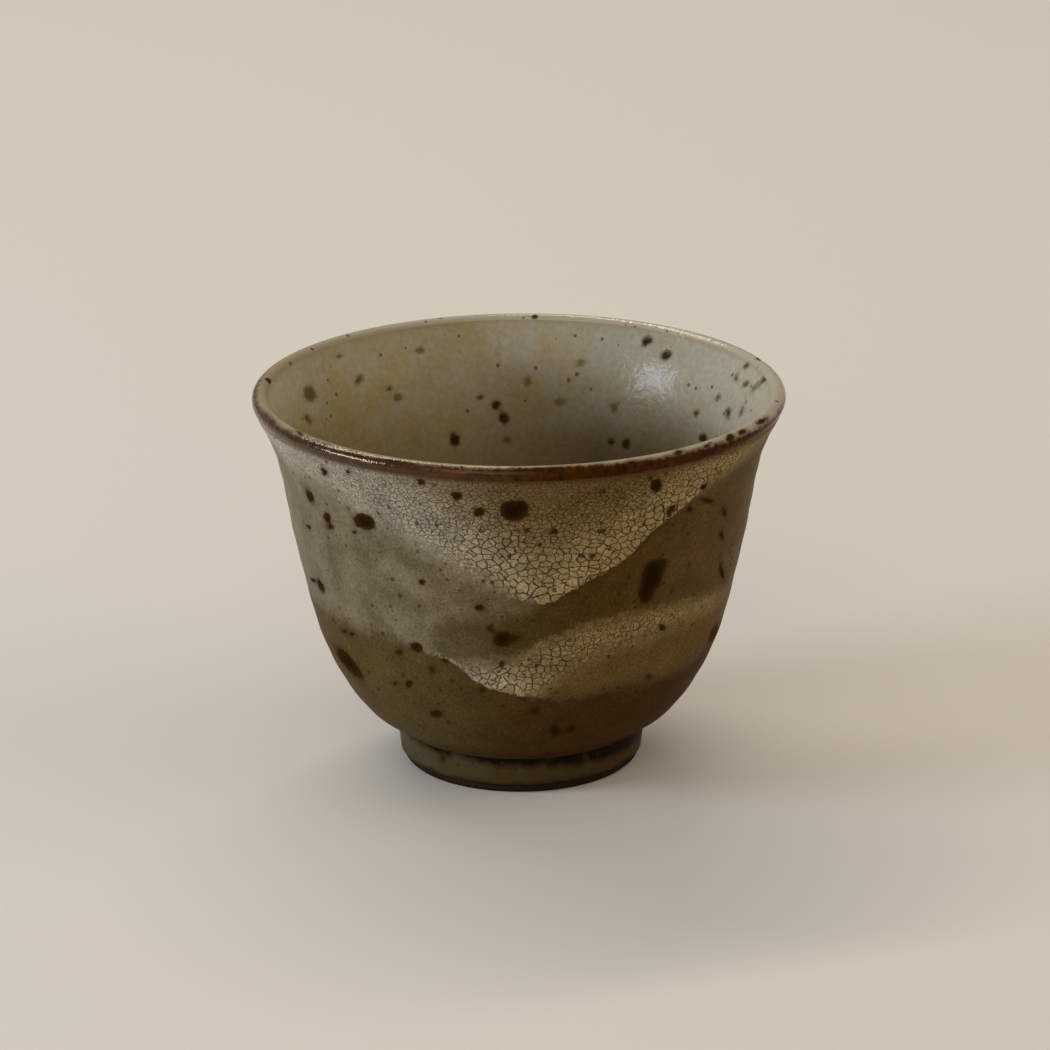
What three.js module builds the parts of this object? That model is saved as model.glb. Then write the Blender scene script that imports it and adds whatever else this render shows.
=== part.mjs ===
// A hand-thrown stoneware teacup: a clay bowl on a turned foot ring, ash glaze inside and out,
// an iron-brown band round the lip, and thick white crackle glaze poured over the wall in sweeps.
// Millimetres, +Z up. The origin is on the table under the middle of the foot, and the front faces -Y.
import * as THREE from "three";

// Overall sizes, over the glaze
const RIM_DIAMETER = 85;
const HEIGHT = 62;

// Lip: a half-round edge that leans out with the flared wall
const LIP_THICKNESS = 2.6;
const LIP_LEAN_DEGREES = 28;
const LIP_BAND_DEPTH = 0.2;

// Wall outline over the glaze: radii, with rises above the foot or a drop below the rim
const TURN_RADIUS = 25.7;
const TURN_RISE = 4.2;
const BELLY_RADIUS = 31.4;
const BELLY_RISE = 13.7;
const WAIST_RADIUS = 35.8;
const FLARE_RADIUS = 39.1;
const FLARE_DROP = 9;

// Thickness of the bowl through clay and glazes where the wall stands on the foot, of its clay floor,
// and of each glaze coat
const WALL_THICKNESS = 4.6;
const FLOOR_THICKNESS = 4.5;
const GLAZE_THICKNESS = 0.4;

// Foot ring over its glaze, which stops short of the table and leaves bare clay there
const FOOT_DIAMETER = 38.8;
const FOOT_TOP_DIAMETER = 40.3;
const FOOT_HEIGHT = 6.3;
const FOOT_RING_WIDTH = 5;
const FOOT_BEVEL = 0.6;
const FOOT_BARE_HEIGHT = 1.7;

// Crackle pours lie on the outer glaze, thinnest along their upper edge and thick along the lower one
const POUR_LOWER_THICKNESS = 0.45;
const POUR_UPPER_THICKNESS = 0.2;
const POUR_CLEARANCE = 0.2;

// Pour outlines on the wall: degrees round from the middle of the sweep, and the lower and upper edge
// as shares of the way up the outer glaze
const UPPER_SWEEP = [
  { degrees: -105, lower: 0.96, upper: 0.985 },
  { degrees: -72, lower: 0.92, upper: 0.985 },
  { degrees: -45, lower: 0.87, upper: 0.985 },
  { degrees: -27, lower: 0.79, upper: 0.985 },
  { degrees: -12, lower: 0.71, upper: 0.985 },
  { degrees: -3, lower: 0.65, upper: 0.985 },
  { degrees: 5, lower: 0.61, upper: 0.985 },
  { degrees: 13, lower: 0.66, upper: 0.985 },
  { degrees: 27, lower: 0.74, upper: 0.985 },
  { degrees: 45, lower: 0.88, upper: 0.985 },
  { degrees: 69, lower: 0.96, upper: 0.985 },
];
const LOWER_SWEEP = [
  { degrees: -30, lower: 0.43, upper: 0.445 },
  { degrees: -15, lower: 0.395, upper: 0.47 },
  { degrees: -6, lower: 0.34, upper: 0.505 },
  { degrees: 3, lower: 0.33, upper: 0.535 },
  { degrees: 18, lower: 0.345, upper: 0.565 },
  { degrees: 36, lower: 0.415, upper: 0.57 },
  { degrees: 57, lower: 0.49, upper: 0.565 },
  { degrees: 72, lower: 0.53, upper: 0.545 },
];
const SWEEP_CENTRES = { front: 0, back: 180 };

// How finely the curves are divided
const TURN_STEPS = 48;
const WALL_STEPS = 12;
const LIP_STEPS = 5;
const INSIDE_STEPS = 9;
const FLOOR_STEPS = 4;
const FLOOR_WALL_STEPS = 2;
const POUR_STEP_DEGREES = 3;
const POUR_ROWS = 4;

// Share of the way up the wall at which the inside leaves the wall and dishes into the floor. The outside
// meets it after FLOOR_WALL_STEPS of its WALL_STEPS divisions, and there the floor ends and the wall begins
const FLOOR_START_SHARE = 0.18;

const rimRadius = RIM_DIAMETER / 2;
const footRadius = FOOT_DIAMETER / 2;
const footTopRadius = FOOT_TOP_DIAMETER / 2;
const lipRadius = LIP_THICKNESS / 2;
const lipLean = THREE.MathUtils.degToRad(LIP_LEAN_DEGREES);
const floorTop = FOOT_HEIGHT + FLOOR_THICKNESS;

const point = (radius, height) => new THREE.Vector2(radius, height);

// The middle of the lip's half-round, and the direction from there to where the outer wall ends
const lipCentre = point(rimRadius - lipRadius, HEIGHT - lipRadius);
const lipOutward = point(Math.cos(lipLean), -Math.sin(lipLean));

// A point on the lip's half-round, from 0 where the outer wall ends to 1 where the inside begins
function lipPoint(share, radius) {
  const angle = Math.PI * share - lipLean;
  return point(Math.cos(angle), Math.sin(angle)).multiplyScalar(radius).add(lipCentre);
}

const wallEnd = lipPoint(0, lipRadius);
const bellyHeight = FOOT_HEIGHT + BELLY_RISE;
const flareHeight = HEIGHT - FLARE_DROP;
const wallCurve = new THREE.CatmullRomCurve3(
  [
    point(footTopRadius, FOOT_HEIGHT),
    point(TURN_RADIUS, FOOT_HEIGHT + TURN_RISE),
    point(BELLY_RADIUS, bellyHeight),
    point(WAIST_RADIUS, (bellyHeight + flareHeight) / 2),
    point(FLARE_RADIUS, flareHeight),
    wallEnd,
  ].map((station) => new THREE.Vector3(station.x, station.y, 0)),
  false,
  "centripetal",
);

// Outward direction of the wall: level at the foot, where the bowl stands on its ring, and the lip's own
// direction at the top
function wallNormal(share) {
  if (share === 0) return point(1, 0);
  if (share === 1) return lipOutward.clone();
  const tangent = wallCurve.getTangentAt(share);
  return point(tangent.y, -tangent.x);
}

// A point inside the wall, at a share of the way up and a depth below the outer glaze's surface
function wallPoint(share, depth) {
  const surface = wallCurve.getPointAt(share);
  return point(surface.x, surface.y).addScaledVector(wallNormal(share), -depth);
}

const wallThickness = (share) => THREE.MathUtils.lerp(WALL_THICKNESS, LIP_THICKNESS, share);
const insidePoint = (share, depth) => wallPoint(share, wallThickness(share) - depth);

// Evenly spaced shares from one value to another, both included
function shares(from, to, steps) {
  return Array.from({ length: steps + 1 }, (_, i) => THREE.MathUtils.lerp(from, to, i / steps));
}

const bandShare = 1 - LIP_BAND_DEPTH / wallCurve.getLength();
const glazedShares = shares(0, bandShare, WALL_STEPS);
const lipShares = shares(0, 1, LIP_STEPS);
const insideShares = shares(1, FLOOR_START_SHARE, INSIDE_STEPS);

// The inside of the bowl from the lip to the middle of the floor, at a depth below the liner's surface
function insideOutline(depth) {
  const wall = insideShares.map((share) => insidePoint(share, depth));
  const end = wall.at(-1);
  const before = wall.at(-2);
  const floorHeight = floorTop + GLAZE_THICKNESS - depth;
  const run = ((end.y - floorHeight) * (before.x - end.x)) / (before.y - end.y);
  const middle = point(0, floorHeight);
  const floor = new THREE.QuadraticBezierCurve(end, point(end.x - run, floorHeight), middle);
  return [...wall, ...floor.getPoints(FLOOR_STEPS).slice(1)];
}

const outsideOutline = (depth) => glazedShares.map((share) => wallPoint(share, depth));
const lipOutline = (depth) => lipShares.map((share) => lipPoint(share, lipRadius - depth));
const bandOutline = (depth) => [wallPoint(bandShare, depth), ...lipOutline(depth)];

// A profile in radius and height turned about the cup's axis
function turned(profile) {
  return new THREE.LatheGeometry(profile, TURN_STEPS).rotateX(Math.PI / 2);
}

const closed = (profile) => [...profile, profile[0].clone()];

// A coat from its surface in to the clay, on outlines that both run upwards
const coat = (surface, clay) => turned(closed([...surface, ...clay.toReversed()]));

const clayOutside = [...outsideOutline(GLAZE_THICKNESS), ...lipOutline(GLAZE_THICKNESS)];
const clayInside = insideOutline(GLAZE_THICKNESS);

function bowlWall() {
  return turned(closed([...clayOutside.slice(FLOOR_WALL_STEPS), ...clayInside.slice(1, INSIDE_STEPS + 1)]));
}

function bowlFloor() {
  const outside = clayOutside.slice(0, FLOOR_WALL_STEPS + 1);
  return turned([point(0, FOOT_HEIGHT), ...outside, ...clayInside.slice(INSIDE_STEPS)]);
}

function innerGlaze() {
  return turned([...insideOutline(GLAZE_THICKNESS).toReversed(), ...insideOutline(0)]);
}

const footSide = (height, depth) =>
  point(THREE.MathUtils.lerp(footRadius, footTopRadius, height / FOOT_HEIGHT) - depth, height);

function footRing() {
  const innerRadius = footRadius - GLAZE_THICKNESS - FOOT_RING_WIDTH;
  const bottomRadius = footSide(0, GLAZE_THICKNESS).x - FOOT_BEVEL;
  return turned(
    closed([
      point(innerRadius + FOOT_BEVEL, 0),
      point(bottomRadius, 0),
      footSide(FOOT_BEVEL, GLAZE_THICKNESS),
      footSide(FOOT_BARE_HEIGHT, GLAZE_THICKNESS),
      footSide(FOOT_HEIGHT, GLAZE_THICKNESS),
      point(innerRadius, FOOT_HEIGHT),
      point(innerRadius, FOOT_BEVEL),
    ]),
  );
}

function footGlaze() {
  const heights = [FOOT_BARE_HEIGHT, FOOT_HEIGHT];
  const side = (depth) => heights.map((height) => footSide(height, depth));
  return coat(side(0), side(GLAZE_THICKNESS));
}

// The lower and upper edge of a sweep at an angle, on smooth curves through its outline's points
function sweepEdges(sweep) {
  const edge = (name) =>
    new THREE.SplineCurve(sweep.map((station) => point(station.degrees, station[name])));
  const lower = edge("lower");
  const upper = edge("upper");
  const start = sweep[0].degrees;
  const columns = Math.round((sweep.at(-1).degrees - start) / POUR_STEP_DEGREES);
  return shares(0, 1, columns).map((share) => ({
    degrees: lower.getPoint(share).x,
    lower: lower.getPoint(share).y,
    upper: upper.getPoint(share).y,
  }));
}

// A pour: an inner face just clear of the outer glaze and an outer face over it, sewn along the edge
function pour(sweep, centreDegrees) {
  const columns = sweepEdges(sweep);
  const rows = shares(0, 1, POUR_ROWS);
  const positions = [];
  const addFace = (height) => {
    for (const column of columns) {
      const angle = THREE.MathUtils.degToRad(centreDegrees + column.degrees);
      for (const row of rows) {
        const share = bandShare * THREE.MathUtils.lerp(column.lower, column.upper, row);
        const { x: radius, y: z } = wallPoint(share, -height(row));
        positions.push(radius * Math.sin(angle), -radius * Math.cos(angle), z);
      }
    }
  };
  const thickness = (row) => THREE.MathUtils.lerp(POUR_LOWER_THICKNESS, POUR_UPPER_THICKNESS, row);
  addFace(() => POUR_CLEARANCE);
  addFace((row) => POUR_CLEARANCE + thickness(row));

  const index = [];
  const addQuad = (a, b, c, d) => index.push(a, b, c, a, c, d);
  const inner = (column, row) => column * rows.length + row;
  const outer = (column, row) => columns.length * rows.length + inner(column, row);
  const lastColumn = columns.length - 1;
  const lastRow = rows.length - 1;
  for (let i = 0; i < lastColumn; i += 1) {
    for (let j = 0; j < lastRow; j += 1) {
      addQuad(outer(i, j), outer(i + 1, j), outer(i + 1, j + 1), outer(i, j + 1));
      addQuad(inner(i, j), inner(i, j + 1), inner(i + 1, j + 1), inner(i + 1, j));
    }
    addQuad(inner(i, 0), inner(i + 1, 0), outer(i + 1, 0), outer(i, 0));
    addQuad(outer(i, lastRow), outer(i + 1, lastRow), inner(i + 1, lastRow), inner(i, lastRow));
  }
  for (let j = 0; j < lastRow; j += 1) {
    addQuad(inner(0, j), outer(0, j), outer(0, j + 1), inner(0, j + 1));
    addQuad(outer(lastColumn, j), inner(lastColumn, j), inner(lastColumn, j + 1), outer(lastColumn, j + 1));
  }
  const geometry = new THREE.BufferGeometry();
  geometry.setAttribute("position", new THREE.Float32BufferAttribute(positions, 3));
  geometry.setIndex(index);
  geometry.computeVertexNormals();
  return geometry;
}

const fired = (color, roughness) => new THREE.MeshStandardMaterial({ color, roughness, metalness: 0 });

const cup = new THREE.Group();

function addPiece(name, geometry, material) {
  const mesh = new THREE.Mesh(geometry, material);
  mesh.name = name;
  cup.add(mesh);
}

addPiece("bowl_wall", bowlWall(), fired("#5a3a26", 0.8));
addPiece("bowl_floor", bowlFloor(), fired("#5a3a26", 0.8));
addPiece("foot_ring", footRing(), fired("#3e281b", 0.85));
addPiece("outer_glaze", coat(outsideOutline(0), outsideOutline(GLAZE_THICKNESS)), fired("#6b614c", 0.35));
addPiece("inner_glaze", innerGlaze(), fired("#7d745d", 0.25));
addPiece("lip_band", coat(bandOutline(0), bandOutline(GLAZE_THICKNESS)), fired("#4a2a18", 0.3));
addPiece("foot_glaze", footGlaze(), fired("#565440", 0.3));
for (const [side, centreDegrees] of Object.entries(SWEEP_CENTRES)) {
  addPiece(`upper_${side}_pour`, pour(UPPER_SWEEP, centreDegrees), fired("#8f866c", 0.4));
  addPiece(`lower_${side}_pour`, pour(LOWER_SWEEP, centreDegrees), fired("#8c8061", 0.4));
}

export default cup;
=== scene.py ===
"""Looks of a hand-thrown stoneware teacup, dressed over its CAD solids.

Lengths are millimetres until a mesh is made. Angles are degrees round the cup from the front (-Y) towards
the right (+X). The frame is the CAD part's own: +Z up, with the origin on the table under the foot.
"""

import logging
import math
from collections.abc import Callable, Sequence
from dataclasses import dataclass
from enum import Enum
from functools import cached_property, partial
from typing import Any

import bpy
import numpy as np
from mathutils import Matrix, Vector


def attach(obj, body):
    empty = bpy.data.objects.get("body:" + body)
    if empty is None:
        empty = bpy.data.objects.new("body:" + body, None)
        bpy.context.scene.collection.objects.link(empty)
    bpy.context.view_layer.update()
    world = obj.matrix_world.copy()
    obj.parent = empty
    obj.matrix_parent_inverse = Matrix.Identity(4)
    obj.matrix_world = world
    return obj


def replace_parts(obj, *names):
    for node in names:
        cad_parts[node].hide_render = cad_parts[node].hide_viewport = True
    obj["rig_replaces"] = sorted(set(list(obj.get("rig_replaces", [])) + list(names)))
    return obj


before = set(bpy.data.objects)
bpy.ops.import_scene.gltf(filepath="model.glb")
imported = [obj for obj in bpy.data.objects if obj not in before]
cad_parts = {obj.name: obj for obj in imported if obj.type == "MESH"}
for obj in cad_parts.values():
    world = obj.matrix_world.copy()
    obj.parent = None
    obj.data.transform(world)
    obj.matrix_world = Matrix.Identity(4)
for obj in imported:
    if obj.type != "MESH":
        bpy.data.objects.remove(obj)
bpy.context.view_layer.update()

LOG = logging.getLogger("teacup")
METRES = 0.001
PHOTO_PIXELS = 1050
SEED = 20

# Millimetres from which a spot no longer counts, and degrees from which an edge is sharp
NO_SPOT = 9.0
SHARP_EDGE = 62.0

Array = np.ndarray
Span = tuple[float, float]
Pairs = tuple[Span, ...]

# Values between which a slow noise and a fine grain of 0 to 1 mostly lie
NOISE_SPAN: Span = (0.3, 0.7)
GRAIN_SPAN: Span = (0.25, 0.75)

# Inputs of a ramp that are set in pairs, and the inputs and output of a mix of colours
FROM = ("From Min", "From Max")
TO = ("To Min", "To Max")
UNDER, OVER, MIXED = 6, 7, 2


class Kind(Enum):
    """Kinds of node that the materials are made of."""

    GROUND = "ShaderNodeTexCoord"
    STORED = "ShaderNodeAttribute"
    PARTS = "ShaderNodeSeparateXYZ"
    JOINED = "ShaderNodeCombineXYZ"
    NOISE = "ShaderNodeTexNoise"
    CELLS = "ShaderNodeTexVoronoi"
    RAMP = "ShaderNodeMapRange"
    MATH = "ShaderNodeMath"
    VECTOR = "ShaderNodeVectorMath"
    MIX = "ShaderNodeMix"
    BUMP = "ShaderNodeBump"


def linear(colour: str) -> tuple[float, float, float, float]:
    """Turns an sRGB hex colour into the linear values that a shader takes.

    Args:
        colour: The colour as "#rrggbb".

    Returns:
        Red, green, blue and an alpha of 1.
    """
    channels = [int(colour[start:start + 2], 16) / 255 for start in (1, 3, 5)]
    curved = [c / 12.92 if c <= 0.04045 else ((c + 0.055) / 1.055) ** 2.4 for c in channels]
    return (*curved, 1.0)


def add_node(
    tree: bpy.types.NodeTree, kind: Kind, inputs: dict | None = None, out: int | str = 0, **settings: Any
) -> Any:
    """Adds a node with its settings, and links or sets its inputs.

    Args:
        tree: The material's node tree.
        kind: The node's kind.
        inputs: A socket to link or a value to set, by input name or index, or several by a tuple of names.
        out: Name or index of the output to give back.
        **settings: The node's own properties.

    Returns:
        The chosen output socket.
    """
    node = tree.nodes.new(kind.value)
    for name, value in settings.items():
        setattr(node, name, value)
    for key, given in (inputs or {}).items():
        pairs = zip(key, given) if isinstance(key, tuple) else [(key, given)]
        for name, value in pairs:
            if isinstance(value, bpy.types.NodeSocket):
                tree.links.new(value, node.inputs[name])
            else:
                node.inputs[name].default_value = value
    return node.outputs[out]


def repeats(size: float) -> float:
    """How often a pattern of a size in millimetres repeats in a metre."""
    return 1 / (size * METRES)


def smoothstep(low: Array | float, high: Array | float, value: Array | float) -> Array:
    """Rises smoothly from 0 where the value is low to 1 where it is high."""
    share = np.clip((value - low) / (high - low), 0, 1)
    return share * share * (3 - 2 * share)


def smooth_through(stations: Sequence[Span], steps: int = 60) -> Array:
    """Draws a centripetal Catmull-Rom curve through stations.

    Args:
        stations: Points in order along the curve.
        steps: Points drawn from one station to the next.

    Returns:
        The curve's points, one in each row.
    """
    knots = np.asarray(stations, float)
    knots = np.vstack([2 * knots[0] - knots[1], knots, 2 * knots[-1] - knots[-2]])
    share = np.linspace(0, 1, steps, endpoint=False)[:, None]
    stretches = []
    for before, start, end, after in zip(knots, knots[1:], knots[2:], knots[3:]):
        steps_taken = ((before, start), (start, end), (end, after))
        first, middle, last = (math.sqrt(math.dist(*ends)) for ends in steps_taken)
        across = (end - start) / middle
        leave = ((start - before) / first - (end - before) / (first + middle) + across) * middle
        arrive = (across - (after - start) / (middle + last) + (after - end) / last) * middle
        squared = 3 * (end - start) - 2 * leave - arrive
        cubed = 2 * (start - end) + leave + arrive
        stretches.append(start + leave * share + squared * share**2 + cubed * share**3)
    return np.vstack([*stretches, knots[-2:-1]])


def read_curve(stations: Pairs, where: Array) -> Array:
    """Reads a smooth curve through (place, value) stations at given places."""
    curve = smooth_through(stations, steps=12)
    return np.interp(where, curve[:, 0], curve[:, 1])


def read_line(stations: Pairs, where: Array) -> Array:
    """Reads straight stretches between (place, value) stations at given places."""
    places, values = zip(*stations)
    return np.interp(where, places, values)


class Outline:
    """A line in radius and height, read by the distance along it."""

    def __init__(self, points: Array) -> None:
        """Measures the line.

        Args:
            points: Radius and height of each of its points.
        """
        self.points = points
        steps = np.linalg.norm(np.diff(points, axis=0), axis=1)
        self.along = np.concatenate([[0.0], np.cumsum(steps)])
        self.length = float(self.along[-1])

    def at(self, distance: Array) -> Array:
        """Radius and height at distances along the line."""
        return np.stack([np.interp(distance, self.along, self.points[:, axis]) for axis in (0, 1)], -1)

    def normal(self, distance: Array, reach: float = 0.15) -> Array:
        """Finds the direction out of the finished surface.

        Args:
            distance: Distances along the line.
            reach: How far ahead and behind the slope is read.

        Returns:
            Unit directions in radius and height.
        """
        ahead = self.at(np.minimum(distance + reach, self.length))
        ahead -= self.at(np.maximum(distance - reach, 0))
        ahead /= np.linalg.norm(ahead, axis=-1, keepdims=True)
        return np.stack([ahead[..., 1], -ahead[..., 0]], -1)


@dataclass(frozen=True)
class CupForm:
    """The thrown and turned form that every coat follows, with the sizes of its CAD solids."""

    rim_radius: float = 42.48
    height: float = 61.97
    lip_thickness: float = 2.6
    lip_lean: float = 28.0
    band_depth: float = 0.2
    turn_radius: float = 25.7
    turn_rise: float = 4.2
    belly_radius: float = 31.4
    belly_rise: float = 13.7
    waist_radius: float = 35.8
    flare_radius: float = 39.1
    flare_drop: float = 9.0
    wall_thickness: float = 4.6
    floor_thickness: float = 4.5
    floor_start_share: float = 0.18
    coat: float = 0.4
    foot_radius: float = 19.4
    foot_top_radius: float = 20.15
    foot_height: float = 6.3
    foot_ring_width: float = 5.0
    foot_bevel: float = 0.6
    foot_bare: float = 1.7
    axis_gap: float = 0.3
    out_of_round: float = 0.07
    oval_share: float = 0.6
    oval_turn: float = 0.9
    lobe_twist: float = 2.1
    lip_points: int = 40
    inside_points: int = 120
    dish_points: int = 60

    @cached_property
    def wall(self) -> Outline:
        """Draws the outer wall, over the glaze.

        Returns:
            Its line from the foot to the lip.
        """
        belly = self.foot_height + self.belly_rise
        flare = self.height - self.flare_drop
        stations = [
            (self.foot_top_radius, self.foot_height),
            (self.turn_radius, self.foot_height + self.turn_rise),
            (self.belly_radius, belly),
            (self.waist_radius, (belly + flare) / 2),
            (self.flare_radius, flare),
            tuple(self.lip[0]),
        ]
        return Outline(smooth_through(stations))

    @cached_property
    def lip(self) -> Array:
        """Rounds the lip from the outer wall's end over to the inside.

        Returns:
            Radius and height of its points.
        """
        radius = self.lip_thickness / 2
        angle = np.linspace(0, math.pi, self.lip_points) - math.radians(self.lip_lean)
        middle = np.array([self.rim_radius - radius, self.height - radius])
        return middle + radius * np.stack([np.cos(angle), np.sin(angle)], -1)

    @cached_property
    def inside(self) -> Array:
        """Draws the inside of the bowl from the lip down to the middle of its dished floor.

        Returns:
            Radius and height of its points.
        """
        share = np.linspace(1, self.floor_start_share, self.inside_points)
        along = share * self.wall.length
        thickness = self.wall_thickness + (self.lip_thickness - self.wall_thickness) * share
        down = self.wall.at(along) - self.wall.normal(along) * thickness[:, None]
        floor = self.foot_height + self.floor_thickness + self.coat
        slope = (down[-2, 0] - down[-1, 0]) / (down[-2, 1] - down[-1, 1])
        corner = np.array([down[-1, 0] - (down[-1, 1] - floor) * slope, floor])
        bend = np.linspace(0, 1, self.dish_points)[1:, None]
        middle = np.array([0, floor])
        dish = (1 - bend) ** 2 * down[-1] + 2 * bend * (1 - bend) * corner + bend**2 * middle
        return np.vstack([down, dish])

    @cached_property
    def skin(self) -> Outline:
        """One line over the glaze: up the outer wall, over the lip and down to the floor's middle."""
        return Outline(np.vstack([self.wall.points, self.lip[1:], self.inside[1:]]))

    @property
    def band_start(self) -> float:
        """Distance up the skin at which the lip band begins."""
        return self.wall.length - self.band_depth

    @property
    def lip_end(self) -> float:
        """Distance along the skin at which the lip ends and the inside begins."""
        return self.wall.length + math.pi * self.lip_thickness / 2

    @property
    def middle(self) -> float:
        """Distance along the skin at which it closes in the middle of the floor."""
        return self.skin.length - self.axis_gap

    @property
    def foot_inner(self) -> float:
        """Radius of the hollow inside the foot ring."""
        return self.foot_radius - self.coat - self.foot_ring_width

    @cached_property
    def foot_side(self) -> Outline:
        """Side of the foot over its glaze, from the table up."""
        return Outline(np.array([[self.foot_radius, 0.0], [self.foot_top_radius, self.foot_height]]))

    def place(self, line: Array, angle: Array) -> Array:
        """Sets points round the cup, a little out of round as a hand leaves it.

        Args:
            line: Radius and height of each point, by row and column.
            angle: Angle of each column.

        Returns:
            The points' coordinates in the cup's frame.
        """
        turn = np.radians(angle)
        climb = line[..., 1] / self.height
        oval = np.cos(2 * turn + self.oval_turn + climb)
        three_lobed = np.cos(3 * turn - self.lobe_twist * climb)
        swing = self.oval_share * oval + (1 - self.oval_share) * three_lobed
        radius = line[..., 0] + self.out_of_round * (swing - 1)
        return np.stack([radius * np.sin(turn), -radius * np.cos(turn), line[..., 1]], -1)


@dataclass(frozen=True)
class PhotoView:
    """The camera that the photograph was taken with, fitted to the cup's outline in it."""

    distance: float = 759.9
    height: float = 296.1
    pitch: float = 18.713
    yaw: float = 0.0627
    roll: float = -0.3552
    focal_pixels: float = 5000.0
    pixels_per_mm: float = 6.13
    sensor: float = 36.0

    @property
    def eye(self) -> Array:
        """Where the camera stands."""
        return np.array([0.0, -self.distance, self.height])

    @cached_property
    def axes(self) -> Array:
        """Turns the image's axes as the camera was held.

        Returns:
            Its right, up and forward directions, one in each row.
        """
        pitch, yaw, roll = (math.radians(angle) for angle in (self.pitch, self.yaw, self.roll))
        forward = np.array(
            [math.sin(yaw) * math.cos(pitch), math.cos(yaw) * math.cos(pitch), -math.sin(pitch)]
        )
        right = np.array([math.cos(yaw), -math.sin(yaw), 0.0])
        up = np.cross(right, forward)
        turned_right = math.cos(roll) * right + math.sin(roll) * up
        turned_up = math.cos(roll) * up - math.sin(roll) * right
        return np.stack([turned_right, turned_up, forward])

    def pixels(self, points: Array) -> Array:
        """Finds where points show in the photograph.

        Args:
            points: Coordinates in the cup's frame, in the last axis.

        Returns:
            Pixels across and down, in the last axis.
        """
        right, up, deep = np.moveaxis((points - self.eye) @ self.axes.T, -1, 0)
        half = PHOTO_PIXELS / 2
        return np.stack([half + self.focal_pixels * right / deep, half - self.focal_pixels * up / deep], -1)

    def add_camera(self) -> None:
        """Adds the camera and makes it the scene's own."""
        lens = bpy.data.cameras.new("photo_camera")
        lens.sensor_width = self.sensor
        lens.lens = self.sensor * self.focal_pixels / PHOTO_PIXELS
        camera = bpy.data.objects.new("photo_camera", lens)
        right, up, forward = self.axes
        turned = Matrix(np.stack([right, up, -forward], -1).tolist()).to_4x4()
        camera.matrix_world = Matrix.Translation(Vector(self.eye * METRES)) @ turned
        bpy.context.scene.collection.objects.link(camera)
        bpy.context.scene.camera = camera


@dataclass(frozen=True)
class IronSpot:
    """A grain of iron melted through the glaze: an ellipse by its middle, half sizes and tilt."""

    across: float
    down: float
    half_length: float
    half_width: float
    tilt: float = 0.0
    rust: float = 0.0

    def distance(self, across: Array, down: Array) -> Array:
        """Measures how far points lie outside the spot's edge.

        Args:
            across: The points' first coordinate.
            down: The points' second coordinate.

        Returns:
            Rough distances in the spot's own unit, negative inside it.
        """
        turn = math.radians(self.tilt)
        right, low = across - self.across, down - self.down
        along = (right * math.cos(turn) + low * math.sin(turn)) / self.half_length
        aside = (low * math.cos(turn) - right * math.sin(turn)) / self.half_width
        return (np.hypot(along, aside) - 1) * min(self.half_length, self.half_width)


# Spots seen in the photograph, read off it: pixels across and down, half sizes in pixels, tilt in degrees
# and rust from 0 to 1
WALL_SPOTS = (
    IronSpot(510, 510, 9.5, 9.5), IronSpot(521, 508, 8, 8.5), IronSpot(516, 513, 9, 7),
    IronSpot(365, 522, 11.5, 8, 25), IronSpot(655, 570, 11.5, 9, -35), IronSpot(652, 580, 12, 10, -70),
    IronSpot(647, 592, 12.5, 7.5, -75), IronSpot(664, 563, 3.5, 3), IronSpot(503, 640, 10, 8, 5),
    IronSpot(513, 639, 8, 3.5, -5), IronSpot(490, 630, 4.5, 2.5, 40, 0.1),
    IronSpot(349, 663, 21, 5.5, 51), IronSpot(656, 485, 7, 5.5, -70), IronSpot(479, 512, 6, 4.5, -20),
    IronSpot(457, 496, 5.5, 4.5, 30), IronSpot(421, 482, 4, 3, 20), IronSpot(324, 472, 4.5, 2.5, 60),
    IronSpot(348, 472, 2, 2), IronSpot(310, 496, 8, 3, 65), IronSpot(327, 517, 5.5, 3.5, 70),
    IronSpot(331, 527, 3.5, 2.5, 30), IronSpot(309, 527, 3, 1.8, 30), IronSpot(355, 532, 2.5, 2),
    IronSpot(422, 582, 3.5, 3), IronSpot(480, 608, 4.5, 3.2), IronSpot(417, 647, 7, 5, 20),
    IronSpot(399, 652, 3.5, 3), IronSpot(445, 661, 3, 2.2, 20), IronSpot(321, 586, 7, 3, 65),
    IronSpot(313, 580, 3, 2, 60), IronSpot(437, 714, 6, 4, 5), IronSpot(535, 711, 5, 4, 0, 0.2),
    IronSpot(555, 731, 6, 5, 20), IronSpot(570, 729, 5.5, 3, -15), IronSpot(409, 684, 3.5, 3.5),
    IronSpot(502, 664, 2.8, 2.8, 0, 0.2), IronSpot(525, 699, 2.2, 2, 0, 0.5), IronSpot(483, 690, 3.2, 2.5),
    IronSpot(662, 627, 3.5, 3, 80), IronSpot(713, 633, 10, 4, -65, 0.7), IronSpot(722, 571, 9, 2.2, 80),
    IronSpot(722, 535, 5, 2.2, 80), IronSpot(725, 512, 4.5, 2, 80), IronSpot(554, 531, 3.5, 2.5),
    IronSpot(527, 530, 4, 2), IronSpot(603, 530, 2.5, 2), IronSpot(592, 555, 3.5, 2.5, -30, 0.5),
    IronSpot(671, 507, 5, 2.5, -35), IronSpot(702, 486, 4, 2.5, -30), IronSpot(604, 491, 2.5, 2),
    IronSpot(345, 631, 2.5, 2), IronSpot(352, 634, 3, 2), IronSpot(432, 670, 4, 3, 60, 0.2),
    IronSpot(540, 544, 2, 1.8), IronSpot(395, 684, 2.2, 2), IronSpot(648, 676, 2.5, 2),
    IronSpot(708, 501, 7, 2.8, 5), IronSpot(690, 510, 3.5, 3), IronSpot(667, 514, 2.5, 2.2),
    IronSpot(718, 473, 1.8, 1.5), IronSpot(649, 478, 2.2, 2),
)
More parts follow.
